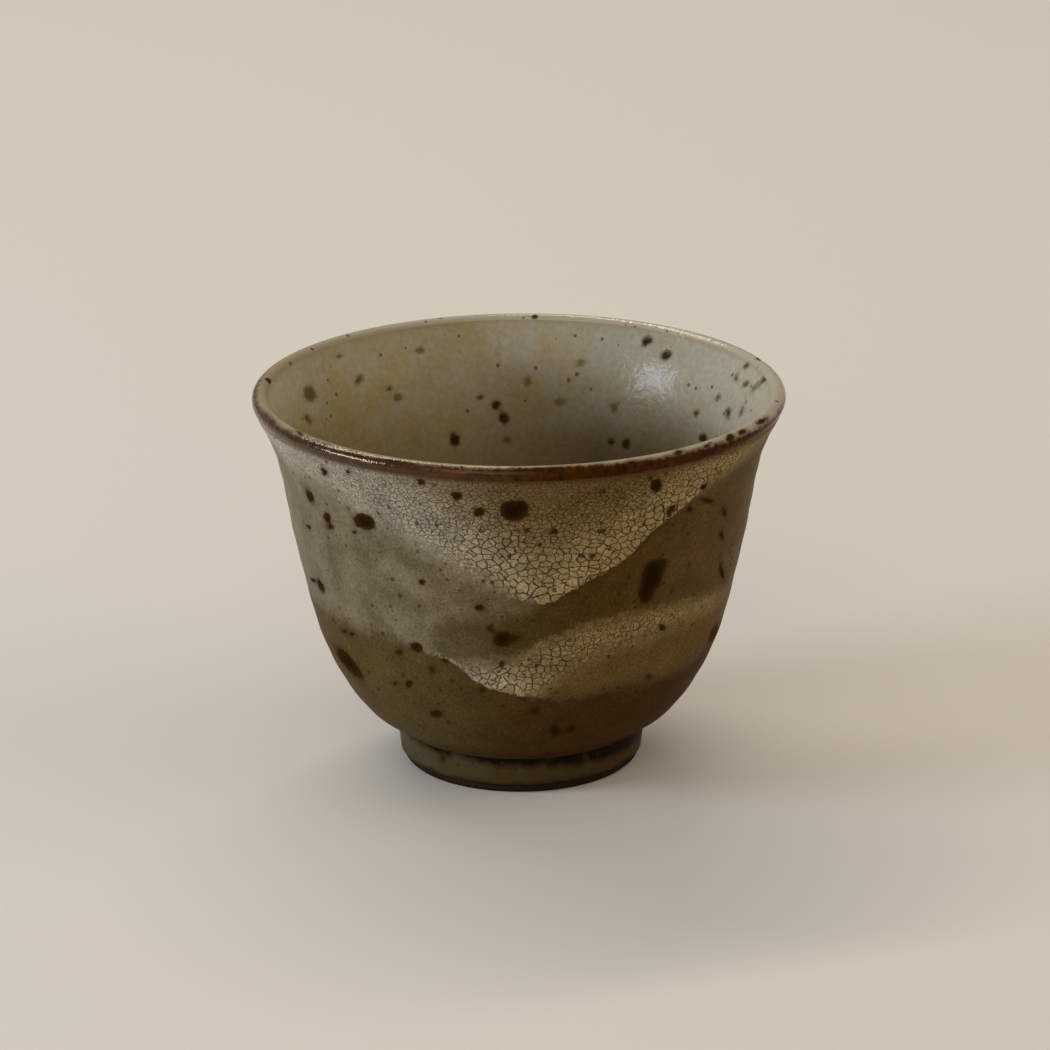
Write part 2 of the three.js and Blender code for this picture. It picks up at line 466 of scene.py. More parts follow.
LINER_SPOTS = (
    IronSpot(496, 405, 5, 4.5), IronSpot(504, 418, 6.5, 5, 70), IronSpot(455, 440, 7, 5, 80),
    IronSpot(626, 444, 6, 4.5, 80), IronSpot(611, 442, 4, 4), IronSpot(703, 438, 5, 4, 60),
    IronSpot(728, 413, 5, 2.5, -80), IronSpot(666, 355, 6, 4.5, -45), IronSpot(647, 341, 6, 4, -50),
    IronSpot(746, 366, 3.2, 1.8, -45), IronSpot(736, 378, 2.6, 1.6, -70, 0.4),
    IronSpot(746, 384, 3, 2, -45, 0.3), IronSpot(755, 388, 3, 1, -45, 0.5),
    IronSpot(765, 379, 5.5, 1.8, -40), IronSpot(718, 398, 3, 2.2, -50, 0.3),
    IronSpot(696, 413, 3.2, 2.4, -70, 0.3), IronSpot(742, 411, 3, 1.2, -70),
    IronSpot(398, 397, 4, 3, 0, 0.5),
    IronSpot(359, 380, 5, 3, -60, 0.5), IronSpot(308, 419, 4, 2.5, 60, 0.5), IronSpot(389, 388, 2.8, 2.2),
    IronSpot(480, 397, 3.2, 2.5, 0, 0.4), IronSpot(614, 408, 5, 3.5, 80, 0.7),
    IronSpot(340, 356, 3, 2.5, 0, 0.7),
    IronSpot(507, 440, 4, 3, 0, 0.7), IronSpot(528, 382, 5, 4, 80, 0.8), IronSpot(580, 363, 4, 3, 0, 0.8),
    IronSpot(560, 402, 5, 4, 0, 0.9), IronSpot(420, 350, 4, 3, 0, 0.9), IronSpot(310, 394, 8, 6, 60, 0.8),
)
FOOT_SPOTS = (
    IronSpot(443, 758, 2.5, 5), IronSpot(549, 756, 5, 4), IronSpot(586, 759, 3, 4.5),
)
LIP_SPOTS = (
    IronSpot(730, 438, 4.5, 4, -30), IronSpot(742, 432, 4.5, 2.5, -20), IronSpot(762, 421, 6, 2.5, -25),
    IronSpot(679, 452, 4, 2.5, -15), IronSpot(707, 446, 3, 2, -20), IronSpot(300, 433, 4, 2, 30, 0.5),
)


@dataclass(frozen=True)
class SpotScatter:
    """Iron spots on the sides that the photograph doesn't show, drawn at random from one seed."""

    count: int
    angles: Span
    stretch: Span
    usual: float = 0.4
    spread: float = 0.65
    smallest: float = 0.2
    largest: float = 2.2
    narrowest: float = 0.55
    rusts: tuple[float, ...] = (0.0, 0.0, 0.5)

    def draw(self, seed: int) -> tuple[IronSpot, ...]:
        """Draws the spots.

        Args:
            seed: Seed of the random draws.

        Returns:
            Spots by angle and distance along the outline, with half sizes in millimetres.
        """
        chance = np.random.default_rng(seed)
        angle = chance.uniform(*self.angles, self.count)
        along = chance.uniform(*self.stretch, self.count)
        length = self.usual * np.exp(chance.normal(0, self.spread, self.count))
        length = np.clip(length, self.smallest, self.largest)
        width = length * chance.uniform(self.narrowest, 1, self.count)
        tilt = chance.uniform(0, 180, self.count)
        rust = chance.choice(self.rusts, self.count)
        return tuple(IronSpot(*map(float, row)) for row in zip(angle, along, length, width, tilt, rust))


@dataclass(frozen=True)
class GlazeSweeps:
    """How the crackle glaze ran on one side of the cup, and where light and shade are painted on it.

    Edges are stations of degrees from the side's middle and a height. Spans are degrees or millimetres over
    which something begins or ends.
    """

    centre: float
    upper_edge: Pairs = (
        (-92, 59), (-70, 56), (-44, 53), (-30, 49.3), (-17.6, 45.6), (-11.4, 43.3), (-4, 40.6), (1, 38.8),
        (5.5, 38), (8, 38.4), (12.4, 40.2), (19.4, 42.4), (26.7, 45), (32.4, 48.4), (39.5, 51),
        (46.6, 53.8), (60, 57), (92, 59),
    )
    upper_softness: Pairs = (
        (-92, 3.5), (-14, 3), (-4, 2), (4, 0.25), (42, 0.25), (52, 1.6), (62, 3), (92, 3.5),
    )
    lower_edge: Pairs = (
        (-92, 30), (-68, 29.8), (-47, 30.1), (-35, 29.8), (-25.7, 28.3), (-17.4, 26.8), (-11.5, 23.8),
        (-6, 22.5), (-0.5, 21.6), (5, 21), (12.3, 20.8), (30, 22.2), (55, 22.4), (72, 25), (92, 30),
    )
    lower_softness: Pairs = (
        (-92, 3.2), (-47, 2.8), (-36, 1.5), (-20, 0.4), (-15, 0.2), (0, 0.25), (5, 0.8), (14, 1.7), (32, 3),
        (92, 4),
    )
    band_top: Pairs = (
        (-92, 26), (-30, 26), (-13, 26.9), (-2.3, 27.7), (5.5, 30.3), (13.9, 32.4), (22.6, 33.5),
        (43.5, 33.5), (68, 32), (92, 31),
    )
    crackle_foot: Pairs = (
        (-92, 22), (-8, 21.5), (0, 21.2), (5.8, 22.6), (13, 25.8), (22, 28.2), (35, 29.7), (46, 30.5),
        (92, 30.5),
    )
    wiped_top: Pairs = (
        (-92, 33), (-25, 33.6), (-20.7, 34.1), (-12.7, 34.8), (-5, 35.4), (2.5, 36.2), (6.5, 38.5), (14, 45),
        (92, 60),
    )
    ledge: float = 0.42
    hollow: float = 0.2
    slant: float = 0.87
    ends: Span = (58, 84)
    band_begins: Span = (-24, -12)
    band_soft: float = 2.0
    wiped_begins: Span = (-24.5, -20.5)
    wiped_clears: Span = (-16, 0)
    # Degrees over which the bare facet gives way to lighter ash towards the right edge, and by how much: a
    # painted glow of reflected light
    right_glow_sides: Span = (24, 60)
    right_glow_share: float = 0.5
    wiped_least: float = 0.85
    wiped_soft: float = 1.6
    # Degrees over which the lit left gives way to the shaded right: greyer and lighter by painted light to
    # the left, browner, darker and warmer by painted shade to the right
    warm_shade_span: Span = (-40, 22)
    warm_shade_loss: float = 0.5
    swell_begins: Span = (-40, -18)
    swell_height: float = 5.0
    lift_begins: Span = (-14, 4)
    lift_depth: float = 6.0
    least_lift: float = 0.3
    fade_begins: Span = (4, -14)
    fade_depth: float = 2.2
    fade_under: float = 0.5
    coarsest: float = 1.02
    finest: float = -0.6
    cells_finer: float = 25.0
    cells_shrink: float = 0.011
    right_shrink: float = 0.5
    far_side: float = 50.0
    far_shrink: float = 0.04
    fade_shrink: float = 0.6
    band_cells: float = 0.64
    tip_cells: float = 0.3
    cells_end: Span = (42, 58)
    end_shrink: float = 1.2
    thin_depth: Span = (2, 13)
    thin_begins: Span = (-48, 4)
    thin_ends: Span = (24, 42)
    thin_loss: float = 0.3
    thinned: float = 0.85
    sag_begins: Span = (12, 35)
    sagged: float = 0.12
    band_thick: float = 0.57
    tip_thick: float = 0.43
    band_thickens: Span = (26, 40)
    band_gain: float = 0.06
    tip_middle: float = -3.0
    tip_width: float = 11.0
    tip_ends: Span = (2, 6)
    lip_line: float = 60.0
    lip_clear: float = 8.0
    # Degrees and width of a painted highlight along the crest of the lower pour's left tail
    tail_begins: Span = (-30, -17)
    tail_ends: Span = (-9, -3)
    tail_width: float = 0.35

    def fields(self, angle: Array, height: Array) -> dict[str, Array]:
        """Works out what lies where on this side of the wall.

        Args:
            angle: Angles round the cup, in one row.
            height: Heights of the wall, in one column.

        Returns:
            Distances above the glaze's edges, their softness and relief in millimetres, and shares.
        """
        side = (angle - self.centre + 180) % 360 - 180
        level = 0 * height
        above_upper = self.slant * (height - read_curve(self.upper_edge, side))
        upper_soft = read_line(self.upper_softness, side) + level
        above_lower = height - read_curve(self.lower_edge, side)
        lower_soft = read_line(self.lower_softness, side) + level
        above_band = height - read_curve(self.band_top, side)
        above_crackle = height - read_curve(self.crackle_foot, side)
        ended = smoothstep(*self.ends, side)
        in_band = smoothstep(*self.band_begins, side) * (1 - ended) + level
        above_wiped = height - read_curve(self.wiped_top, side)
        wiped = smoothstep(self.wiped_soft, -self.wiped_soft, above_wiped) * (1 - ended)
        wiped *= smoothstep(*self.wiped_begins, side)
        # Painted glow of reflected light: less bare facet towards the right edge
        wiped *= 1 - self.right_glow_share * smoothstep(*self.right_glow_sides, side)
        wiped *= self.wiped_least + (1 - self.wiped_least) * smoothstep(*self.wiped_clears, side)

        upper = smoothstep(-upper_soft, upper_soft, above_upper)
        wall = smoothstep(-lower_soft, lower_soft, above_lower)
        bare = (1 - upper) * smoothstep(-self.band_soft, self.band_soft, above_band) * wiped
        depth = np.maximum(above_upper, 0)
        falling = self.cells_shrink * np.maximum(-side, self.right_shrink * side)
        falling += self.far_shrink * np.maximum(np.abs(side) - self.far_side, 0)
        from_tip = (side - self.tip_middle) / self.tip_width
        lower_tip = np.exp(-(from_tip**2)) * (1 - smoothstep(*self.tip_ends, above_lower))
        in_upper = smoothstep(0, self.band_soft, above_band) + level
        fading = np.exp(-np.maximum(above_upper + self.fade_under, 0) / self.fade_depth)
        fading *= smoothstep(*self.fade_begins, side)
        upper_size = self.coarsest - depth / self.cells_finer - falling - self.fade_shrink * fading
        upper_size = np.clip(upper_size, self.finest, 1)
        lower_size = self.band_cells + self.tip_cells * lower_tip
        lower_size -= self.end_shrink * smoothstep(*self.cells_end, side)
        thinning = smoothstep(*self.thin_depth, depth) * smoothstep(*self.thin_begins, side)
        thinning *= 1 - self.thin_loss * smoothstep(*self.thin_ends, side)
        swell = wall * np.exp(-np.maximum(above_lower, 0) / self.swell_height)
        swell *= smoothstep(*self.swell_begins, side) * (1 - ended)
        top = smoothstep(0, self.lip_clear, self.lip_line - height)
        upper_thick = 1 - self.thinned * thinning - self.sagged * smoothstep(*self.sag_begins, side)
        lower_thick = self.band_thick + self.tip_thick * lower_tip
        lower_thick += self.band_gain * smoothstep(*self.band_thickens, side)
        lifted = top * upper
        for share in (smoothstep(*self.lift_begins, side), np.exp(-depth / self.lift_depth)):
            lifted = lifted * (self.least_lift + (1 - self.least_lift) * share)
        # Painted highlight along the crest of the lower pour's left tail
        crest = np.exp(-(((above_lower - self.tail_width) / self.tail_width) ** 2))
        crest *= smoothstep(*self.tail_begins, side) * (1 - smoothstep(*self.tail_ends, side))
        return {
            "above_upper": above_upper,
            "above_lower": above_lower,
            "above_band": above_band,
            "upper_soft": upper_soft,
            "lower_soft": lower_soft,
            "above_crackle": above_crackle,
            "wiped": wiped,
            "in_band": in_band,
            # Painted light and shade by side: 0 on the lit left, 1 on the shaded right
            "warm_shaded_side": smoothstep(*self.warm_shade_span, side) * (1 - self.warm_shade_loss * ended) + level,
            "size": np.where(in_upper > 0.5, upper_size, lower_size),
            "thick": in_upper * upper_thick + (1 - in_upper) * lower_thick,
            "tail": crest,
            "relief": self.ledge * (lifted + swell) - self.hollow * bare,
        }


class Mark(Enum):
    """Names of the numbers that a coat stores at its points for its finish."""

    PLACE = "place"
    EDGES = "edges"
    SOFTNESS = "softness"
    SHARES = "shares"
    POURS = "pours"
    SPOTS = "spots"


def sew(name: str, points: Array, closed: bool) -> bpy.types.Object:
    """Sews rows of points round the cup into one closed skin with a bake map.

    Args:
        name: The piece's name.
        points: Coordinates in millimetres, by row and column.
        closed: Whether the last row meets the first; otherwise both rows are capped.

    Returns:
        The new object, in metres.
    """
    rows, columns = points.shape[:2]
    row = np.arange(rows if closed else rows - 1)[:, None]
    column = np.arange(columns)[None, :]
    next_row, next_column = (row + 1) % rows, (column + 1) % columns
    corners = [(row, column), (row, next_column), (next_row, next_column), (next_row, column)]
    quads = np.stack([r * columns + c for r, c in corners], -1).reshape(-1, 4)
    mapped = [(column, row), (column + 1, row), (column + 1, row + 1), (column, row + 1)]
    shares = [np.broadcast_arrays(u / columns, v / rows) for u, v in mapped]
    chart = np.stack([np.stack(pair, -1) for pair in shares], -2).reshape(-1, 2)
    faces = quads.tolist()
    if not closed:
        faces += [list(range(columns))[::-1], list(range((rows - 1) * columns, rows * columns))]
        edge = np.arange(columns) / columns
        chart = np.vstack([chart, np.stack([edge[::-1], 0 * edge], -1), np.stack([edge, 0 * edge + 1], -1)])
    mesh = bpy.data.meshes.new(name)
    mesh.from_pydata((points.reshape(-1, 3) * METRES).tolist(), [], faces)
    mesh.uv_layers.new(name="OFBake").data.foreach_set("uv", chart.astype(np.float32).ravel())
    mesh.polygons.foreach_set("use_smooth", np.ones(len(mesh.polygons), bool))
    mesh.set_sharp_from_angle(angle=math.radians(SHARP_EDGE))
    piece = bpy.data.objects.new(name, mesh)
    bpy.context.scene.collection.objects.link(piece)
    return piece


def store(piece: bpy.types.Object, mark: Mark, values: Array) -> None:
    """Stores three numbers under a name at each of a piece's points."""
    layer = piece.data.attributes.new(mark.value, "FLOAT_VECTOR", "POINT")
    layer.data.foreach_set("vector", np.ascontiguousarray(values, np.float32).ravel())


@dataclass
class Piece:
    """One piece of the cup as it is seen: its name, its finish and the CAD nodes that it stands for."""

    form: CupForm
    view: PhotoView
    name: str = ""
    slot: str = ""
    nodes: tuple[str, ...] = ()
    columns: int = 600
    seam: float = 73.0

    @cached_property
    def angle(self) -> Array:
        """Angle of each column, from the seam round."""
        return self.seam + np.arange(self.columns) * 360 / self.columns

    def shape(self) -> bpy.types.Object:
        """Makes the piece's mesh, with the numbers that its finish reads."""
        raise NotImplementedError

    def build(self, finish: "Finish") -> bpy.types.Object:
        """Makes the piece, dresses it and ties it to the CAD frame.

        Args:
            finish: Its glaze or clay.

        Returns:
            The finished piece, on the CAD body.
        """
        piece = self.shape()
        piece.data.materials.append(finish.material())
        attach(piece, "root")
        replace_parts(piece, *self.nodes)
        return piece


@dataclass
class Coat(Piece):
    """A thin coat of glaze on a stretch of an outline, with the iron spots that show in it."""

    outline: Outline | None = None
    start: float = 0.0
    end: float = 0.0
    rows: int = 64
    back_rows: int = 8
    closed: bool = True
    seen_spots: tuple[IronSpot, ...] = ()
    other_spots: tuple[IronSpot, ...] = ()
    pit: float = 0.07
    pit_edge: Span = (-0.25, 0.1)
    merge: float = 0.22

    @cached_property
    def along(self) -> Array:
        """Distance of each surface row along the outline."""
        return np.linspace(self.start, self.end, self.rows)

    @cached_property
    def line(self) -> Array:
        """Radius and height of each surface row, before any relief."""
        return self.outline.at(self.along)

    @cached_property
    def spots(self) -> tuple[Array, Array]:
        """Measures how far each surface point lies from the iron spots.

        Returns:
            Distance from the nearest spot and that spot's rust, by row and column.
        """
        level = np.broadcast_to(self.line[:, None], (self.rows, self.columns, 2))
        points = self.form.place(level, self.angle)
        normal = self.outline.normal(self.along)
        turn = np.radians(self.angle)
        outward = np.stack(
            [normal[:, :1] * np.sin(turn), -normal[:, :1] * np.cos(turn), normal[:, 1:] + 0 * turn], -1
        )
        facing = np.sum(outward * (self.view.eye - points), -1) > 0
        across, down = np.moveaxis(self.view.pixels(points), -1, 0)
        near = np.full(facing.shape, math.exp(-NO_SPOT / self.merge))
        rust = np.zeros(facing.shape)
        for spot in (*self.seen_spots, *self.other_spots):
            if spot in self.seen_spots:
                reach = np.where(facing, spot.distance(across, down) / self.view.pixels_per_mm, NO_SPOT)
            else:
                swing = np.radians((self.angle - spot.across + 180) % 360 - 180)
                reach = spot.distance(spot.across + swing * self.line[:, :1], self.along[:, None])
            weight = np.exp(-np.minimum(reach, NO_SPOT) / self.merge)
            near += weight
            rust += weight * spot.rust
        return -self.merge * np.log(near), rust / near

    def relief(self) -> Array:
        """Height of the surface over the plain outline, by row and column."""
        return -self.pit * (1 - smoothstep(*self.pit_edge, self.spots[0]))

    def skin(self) -> bpy.types.Object:
        """Builds the coat's closed skin: its back on the clay, then its surface with the relief.

        Returns:
            The mesh, in metres.
        """
        back = np.linspace(self.end, self.start, self.back_rows)
        back_line = self.outline.at(back) - self.form.coat * self.outline.normal(back)
        surface = self.line[:, None] + self.relief()[..., None] * self.outline.normal(self.along)[:, None]
        hidden = np.broadcast_to(back_line[:, None], (self.back_rows, self.columns, 2))
        return sew(self.name, self.form.place(np.concatenate([hidden, surface]), self.angle), self.closed)

    def keep(self, piece: bpy.types.Object, mark: Mark, *values: Array) -> None:
        """Stores three numbers for every surface point, and the edge's for the hidden back.

        Args:
            piece: The coat's mesh.
            mark: Name of the numbers.
            *values: Three arrays by row and column.
        """
        shape = (self.rows, self.columns)
        surface = np.stack([np.broadcast_to(value, shape) for value in values], -1)
        hidden = np.broadcast_to(surface[:1], (self.back_rows, self.columns, 3))
        store(piece, mark, np.concatenate([hidden, surface]))


@dataclass
class OuterCoat(Coat):
    """Ash glaze on the outer wall, with the sweeps of crackle glaze that were poured over it."""

    sweeps: tuple[GlazeSweeps, ...] = ()
    ring_spacing: float = 5.2
    ring_depth: float = 0.035
    ring_stray: float = 1.5
    ring_drift: float = 9.0
    edge_fade: float = 1.2
    front_ends: float = 82.0
    back_begins: float = 114.0
    stored: tuple[tuple[Mark, tuple[str, str, str]], ...] = (
        (Mark.EDGES, ("above_upper", "above_lower", "above_band")),
        (Mark.SOFTNESS, ("upper_soft", "lower_soft", "above_crackle")),
        (Mark.SHARES, ("wiped", "in_band", "warm_shaded_side")),
        (Mark.POURS, ("size", "thick", "tail")),
    )

    @cached_property
    def fields(self) -> dict[str, Array]:
        """Lets the front's sweeps give way to the back's round the sides.

        Returns:
            What lies where on the wall, by name.
        """
        front, back = (side.fields(self.angle[None], self.line[:, 1:]) for side in self.sweeps)
        turned = np.abs((self.angle + 180) % 360 - 180)
        in_front = smoothstep(self.back_begins, self.front_ends, turned)[None]
        return {name: in_front * front[name] + (1 - in_front) * back[name] for name in front}

    def relief(self) -> Array:
        """Adds pours and throwing rings to the spots' pits, and fades them all at the lip and the foot.

        Returns:
            Height of the surface over the plain wall, by row and column.
        """
        strayed = self.ring_stray * np.sin(self.along / self.ring_drift)
        rings = np.sin(2 * math.pi * self.along / self.ring_spacing + strayed)[:, None]
        from_end = np.minimum(self.along - self.start, self.end - self.along)
        ends = smoothstep(0, self.edge_fade, from_end)[:, None]
        return (self.fields["relief"] + self.ring_depth * rings + super().relief()) * ends

    def shape(self) -> bpy.types.Object:
        """Makes the coat's mesh and stores what lies where on it.

        Returns:
            The mesh, in metres.
        """
        piece = self.skin()
        arc = np.radians(self.angle - self.seam) * self.form.waist_radius
        self.keep(piece, Mark.PLACE, arc[None], self.along[:, None], self.end - self.along[:, None])
        for mark, names in self.stored:
            self.keep(piece, mark, *(self.fields[name] for name in names))
        self.keep(piece, Mark.SPOTS, *self.spots, np.zeros(1))
        return piece


@dataclass
class PlainCoat(Coat):
    """A coat of one glaze, such as the liner, the lip's or the foot's, which changes towards one side."""

    toward: float = 90.0
    even_radius: float = 16.0

    def shape(self) -> bpy.types.Object:
        """Makes the coat's mesh and stores the place and the turn of its points.

        Returns:
            The mesh, in metres.
        """
        piece = self.skin()
        across = (self.along[:, None] - self.start) / (self.end - self.start)
        self.keep(piece, Mark.PLACE, self.angle[None], self.along[:, None] - self.start, across)
        turned = np.cos(np.radians(self.angle - self.toward))
        facing = turned * smoothstep(0, self.even_radius, self.line[:, :1])
        self.keep(piece, Mark.SPOTS, *self.spots, 0.5 + 0.5 * facing)
        return piece


@dataclass
class Turning(Piece):
    """A clay piece turned on the wheel, with the fine grooves that the tool leaves in its bare faces."""

    groove_spacing: float = 0.9
    groove_depth: float = 0.05

    def grooves(self, line: Array) -> Array:
        """Depth of the tool's spiral groove, by row and column, from each row's radius and height."""
        turns = (line[:, :1] + line[:, 1:]) / self.groove_spacing - self.angle / 360
        return self.groove_depth * np.cos(2 * math.pi * turns)


@dataclass
class ThrownBowl(Turning):
    """The clay bowl, which shows only inside the foot ring."""

    skin_rows: int = 60
    floor_rows: int = 90

    def shape(self) -> bpy.types.Object:
        """Makes the bowl's mesh: its grooved underside, then its skin under the coats.

        Returns:
            The mesh, in metres.
        """
        form = self.form
        along = np.linspace(0, form.middle, self.skin_rows)
        walls = form.skin.at(along) - form.coat * form.skin.normal(along)
        radius = np.linspace(form.axis_gap, form.foot_top_radius - form.coat, self.floor_rows)
        under = np.stack([radius, np.full_like(radius, form.foot_height)], -1)
        shown = smoothstep(0, 1, form.foot_inner - radius)[:, None]
        floor = np.broadcast_to(under[:, None], (self.floor_rows, self.columns, 2)).copy()
        floor[..., 1] += shown * (self.groove_depth + self.grooves(under))
        rest = np.broadcast_to(walls[1:, None], (self.skin_rows - 1, self.columns, 2))
        return sew(self.name, form.place(np.concatenate([floor, rest]), self.angle), closed=False)


@dataclass
class FootRing(Turning):
    """The turned foot ring, bare where it stands on the table."""

    step: float = 0.12
    top_margin: float = 0.2
    wear: float = 0.8

    def shape(self) -> bpy.types.Object:
        """Makes the ring's mesh, grooved wherever the bowl doesn't cover it.

        Returns:
            The mesh, in metres.
        """
        form = self.form
        outer = form.foot_side.at(np.array([form.foot_bevel, form.foot_side.length])) - [form.coat, 0]
        inner = form.foot_inner
        corners = [
            (inner, form.foot_height),
            (inner, form.foot_bevel),
            (inner + form.foot_bevel, 0),
            (form.foot_radius - form.coat - form.foot_bevel, 0),
            *outer,
            (inner, form.foot_height),
        ]
        loop = Outline(np.array(corners))
        along = np.arange(0, loop.length, self.step)
        line = loop.at(along)
        worn = np.where(line[:, 1] < form.foot_height - self.top_margin, self.wear, 0.0)[:, None]
        depth = worn * (self.groove_depth + self.grooves(line))
        cut = line[:, None] - depth[..., None] * loop.normal(along)[:, None]
        return sew(self.name, form.place(cut, self.angle), closed=True)


@dataclass(frozen=True)
class Finish:
    """A fired surface, as a material named for what it is and how it was made."""

    name: str = "finish"

    def sockets(self, node: Callable) -> dict[str, Any]:
        """Builds the finish's nodes, by the function that adds one, for the inputs of its shader."""
        raise NotImplementedError

    def material(self) -> bpy.types.Material:
        """Makes the material and joins the finish's nodes to its surface shader.

        Returns:
            The finished material.
        """
        made = bpy.data.materials.new(self.name)
        made.use_nodes = True
        tree = made.node_tree
        shader = tree.nodes["Principled BSDF"]
        for name, value in self.sockets(partial(add_node, tree)).items():
            if isinstance(value, bpy.types.NodeSocket):
                tree.links.new(value, shader.inputs[name])
            else:
                shader.inputs[name].default_value = value
        return made


@dataclass(frozen=True)
class IronBloom:
    """How iron shows in a glaze: spots that melted through it, each with a halo, and pepper-fine specks."""

    iron: str = "#221605"
    brown: str = "#36260f"
    rust: str = "#33220d"
    ember: str = "#503618"
    ragged: float = 0.3
    ragged_size: float = 0.9
    blur: float = 0.13
    core: float = 0.8
    halo: float = 0.55
    halo_strength: float = 0.32
    pepper_spacing: float = 1.4
    pepper_size: float = 0.45
    pepper_share: float = 0.5
    pepper_full: float = 0.85
    pepper_edge: Span = (-0.02, 0.08)
    pepper_strength: float = 0.75

    def over(self, node: Callable, colour: Any) -> tuple[Any, Any]:
        """Lays the coat's stored spots and the pepper over a colour.

        Args:
            node: Adds a node to the material.
            colour: Socket of the colour under the iron.

        Returns:
            Sockets of the new colour and of the spots' cover, from 0 to 1.
        """
        ground = node(Kind.GROUND, out="Object")
        spots = node(Kind.STORED, out="Vector", attribute_name=Mark.SPOTS.value)
        away, rusty, _ = node(Kind.PARTS, {0: spots}).node.outputs
        grains = {"Vector": ground, "Scale": repeats(self.pepper_spacing)}
        near = node(Kind.CELLS, grains, "Distance")
        drawn = node(Kind.CELLS, grains, "Color")
        widest = self.pepper_size / self.pepper_spacing
        reach = node(
            Kind.RAMP, {"Value": drawn, FROM: (1 - self.pepper_share, self.pepper_full), TO: (0.0, widest)}
        )
        inside = node(Kind.MATH, {0: reach, 1: near}, operation="SUBTRACT")
        speck = node(Kind.RAMP, {"Value": inside, FROM: self.pepper_edge, TO: (0.0, self.pepper_strength)})
        peppered = node(
            Kind.MIX, {0: speck, UNDER: colour, OVER: linear(self.brown)}, MIXED, data_type="RGBA"
        )
        wander = node(Kind.NOISE, {"Vector": ground, "Scale": repeats(self.ragged_size), "Detail": 4.0})
        shift = node(Kind.RAMP, {"Value": wander, TO: (-self.ragged, self.ragged)})
        edge = node(Kind.MATH, {0: away, 1: shift}, operation="ADD")
        halo = node(Kind.RAMP, {"Value": edge, FROM: (0.0, self.halo), TO: (self.halo_strength, 0.0)})
        ringed = node(
            Kind.MIX, {0: halo, UNDER: peppered, OVER: linear(self.rust)}, MIXED, data_type="RGBA"
        )
        cover = node(Kind.RAMP, {"Value": edge, FROM: (-self.blur, self.blur), TO: (1.0, 0.0)})
        cored = node(Kind.RAMP, {"Value": edge, FROM: (-self.core, 0.0)})
        melted = node(
            Kind.MIX,
            {0: cored, UNDER: linear(self.iron), OVER: linear(self.brown)},
            MIXED,
            data_type="RGBA",
        )
        rusted = node(
            Kind.MIX, {0: rusty, UNDER: melted, OVER: linear(self.ember)}, MIXED, data_type="RGBA"
        )
        return node(Kind.MIX, {0: cover, UNDER: ringed, OVER: rusted}, MIXED, data_type="RGBA"), cover


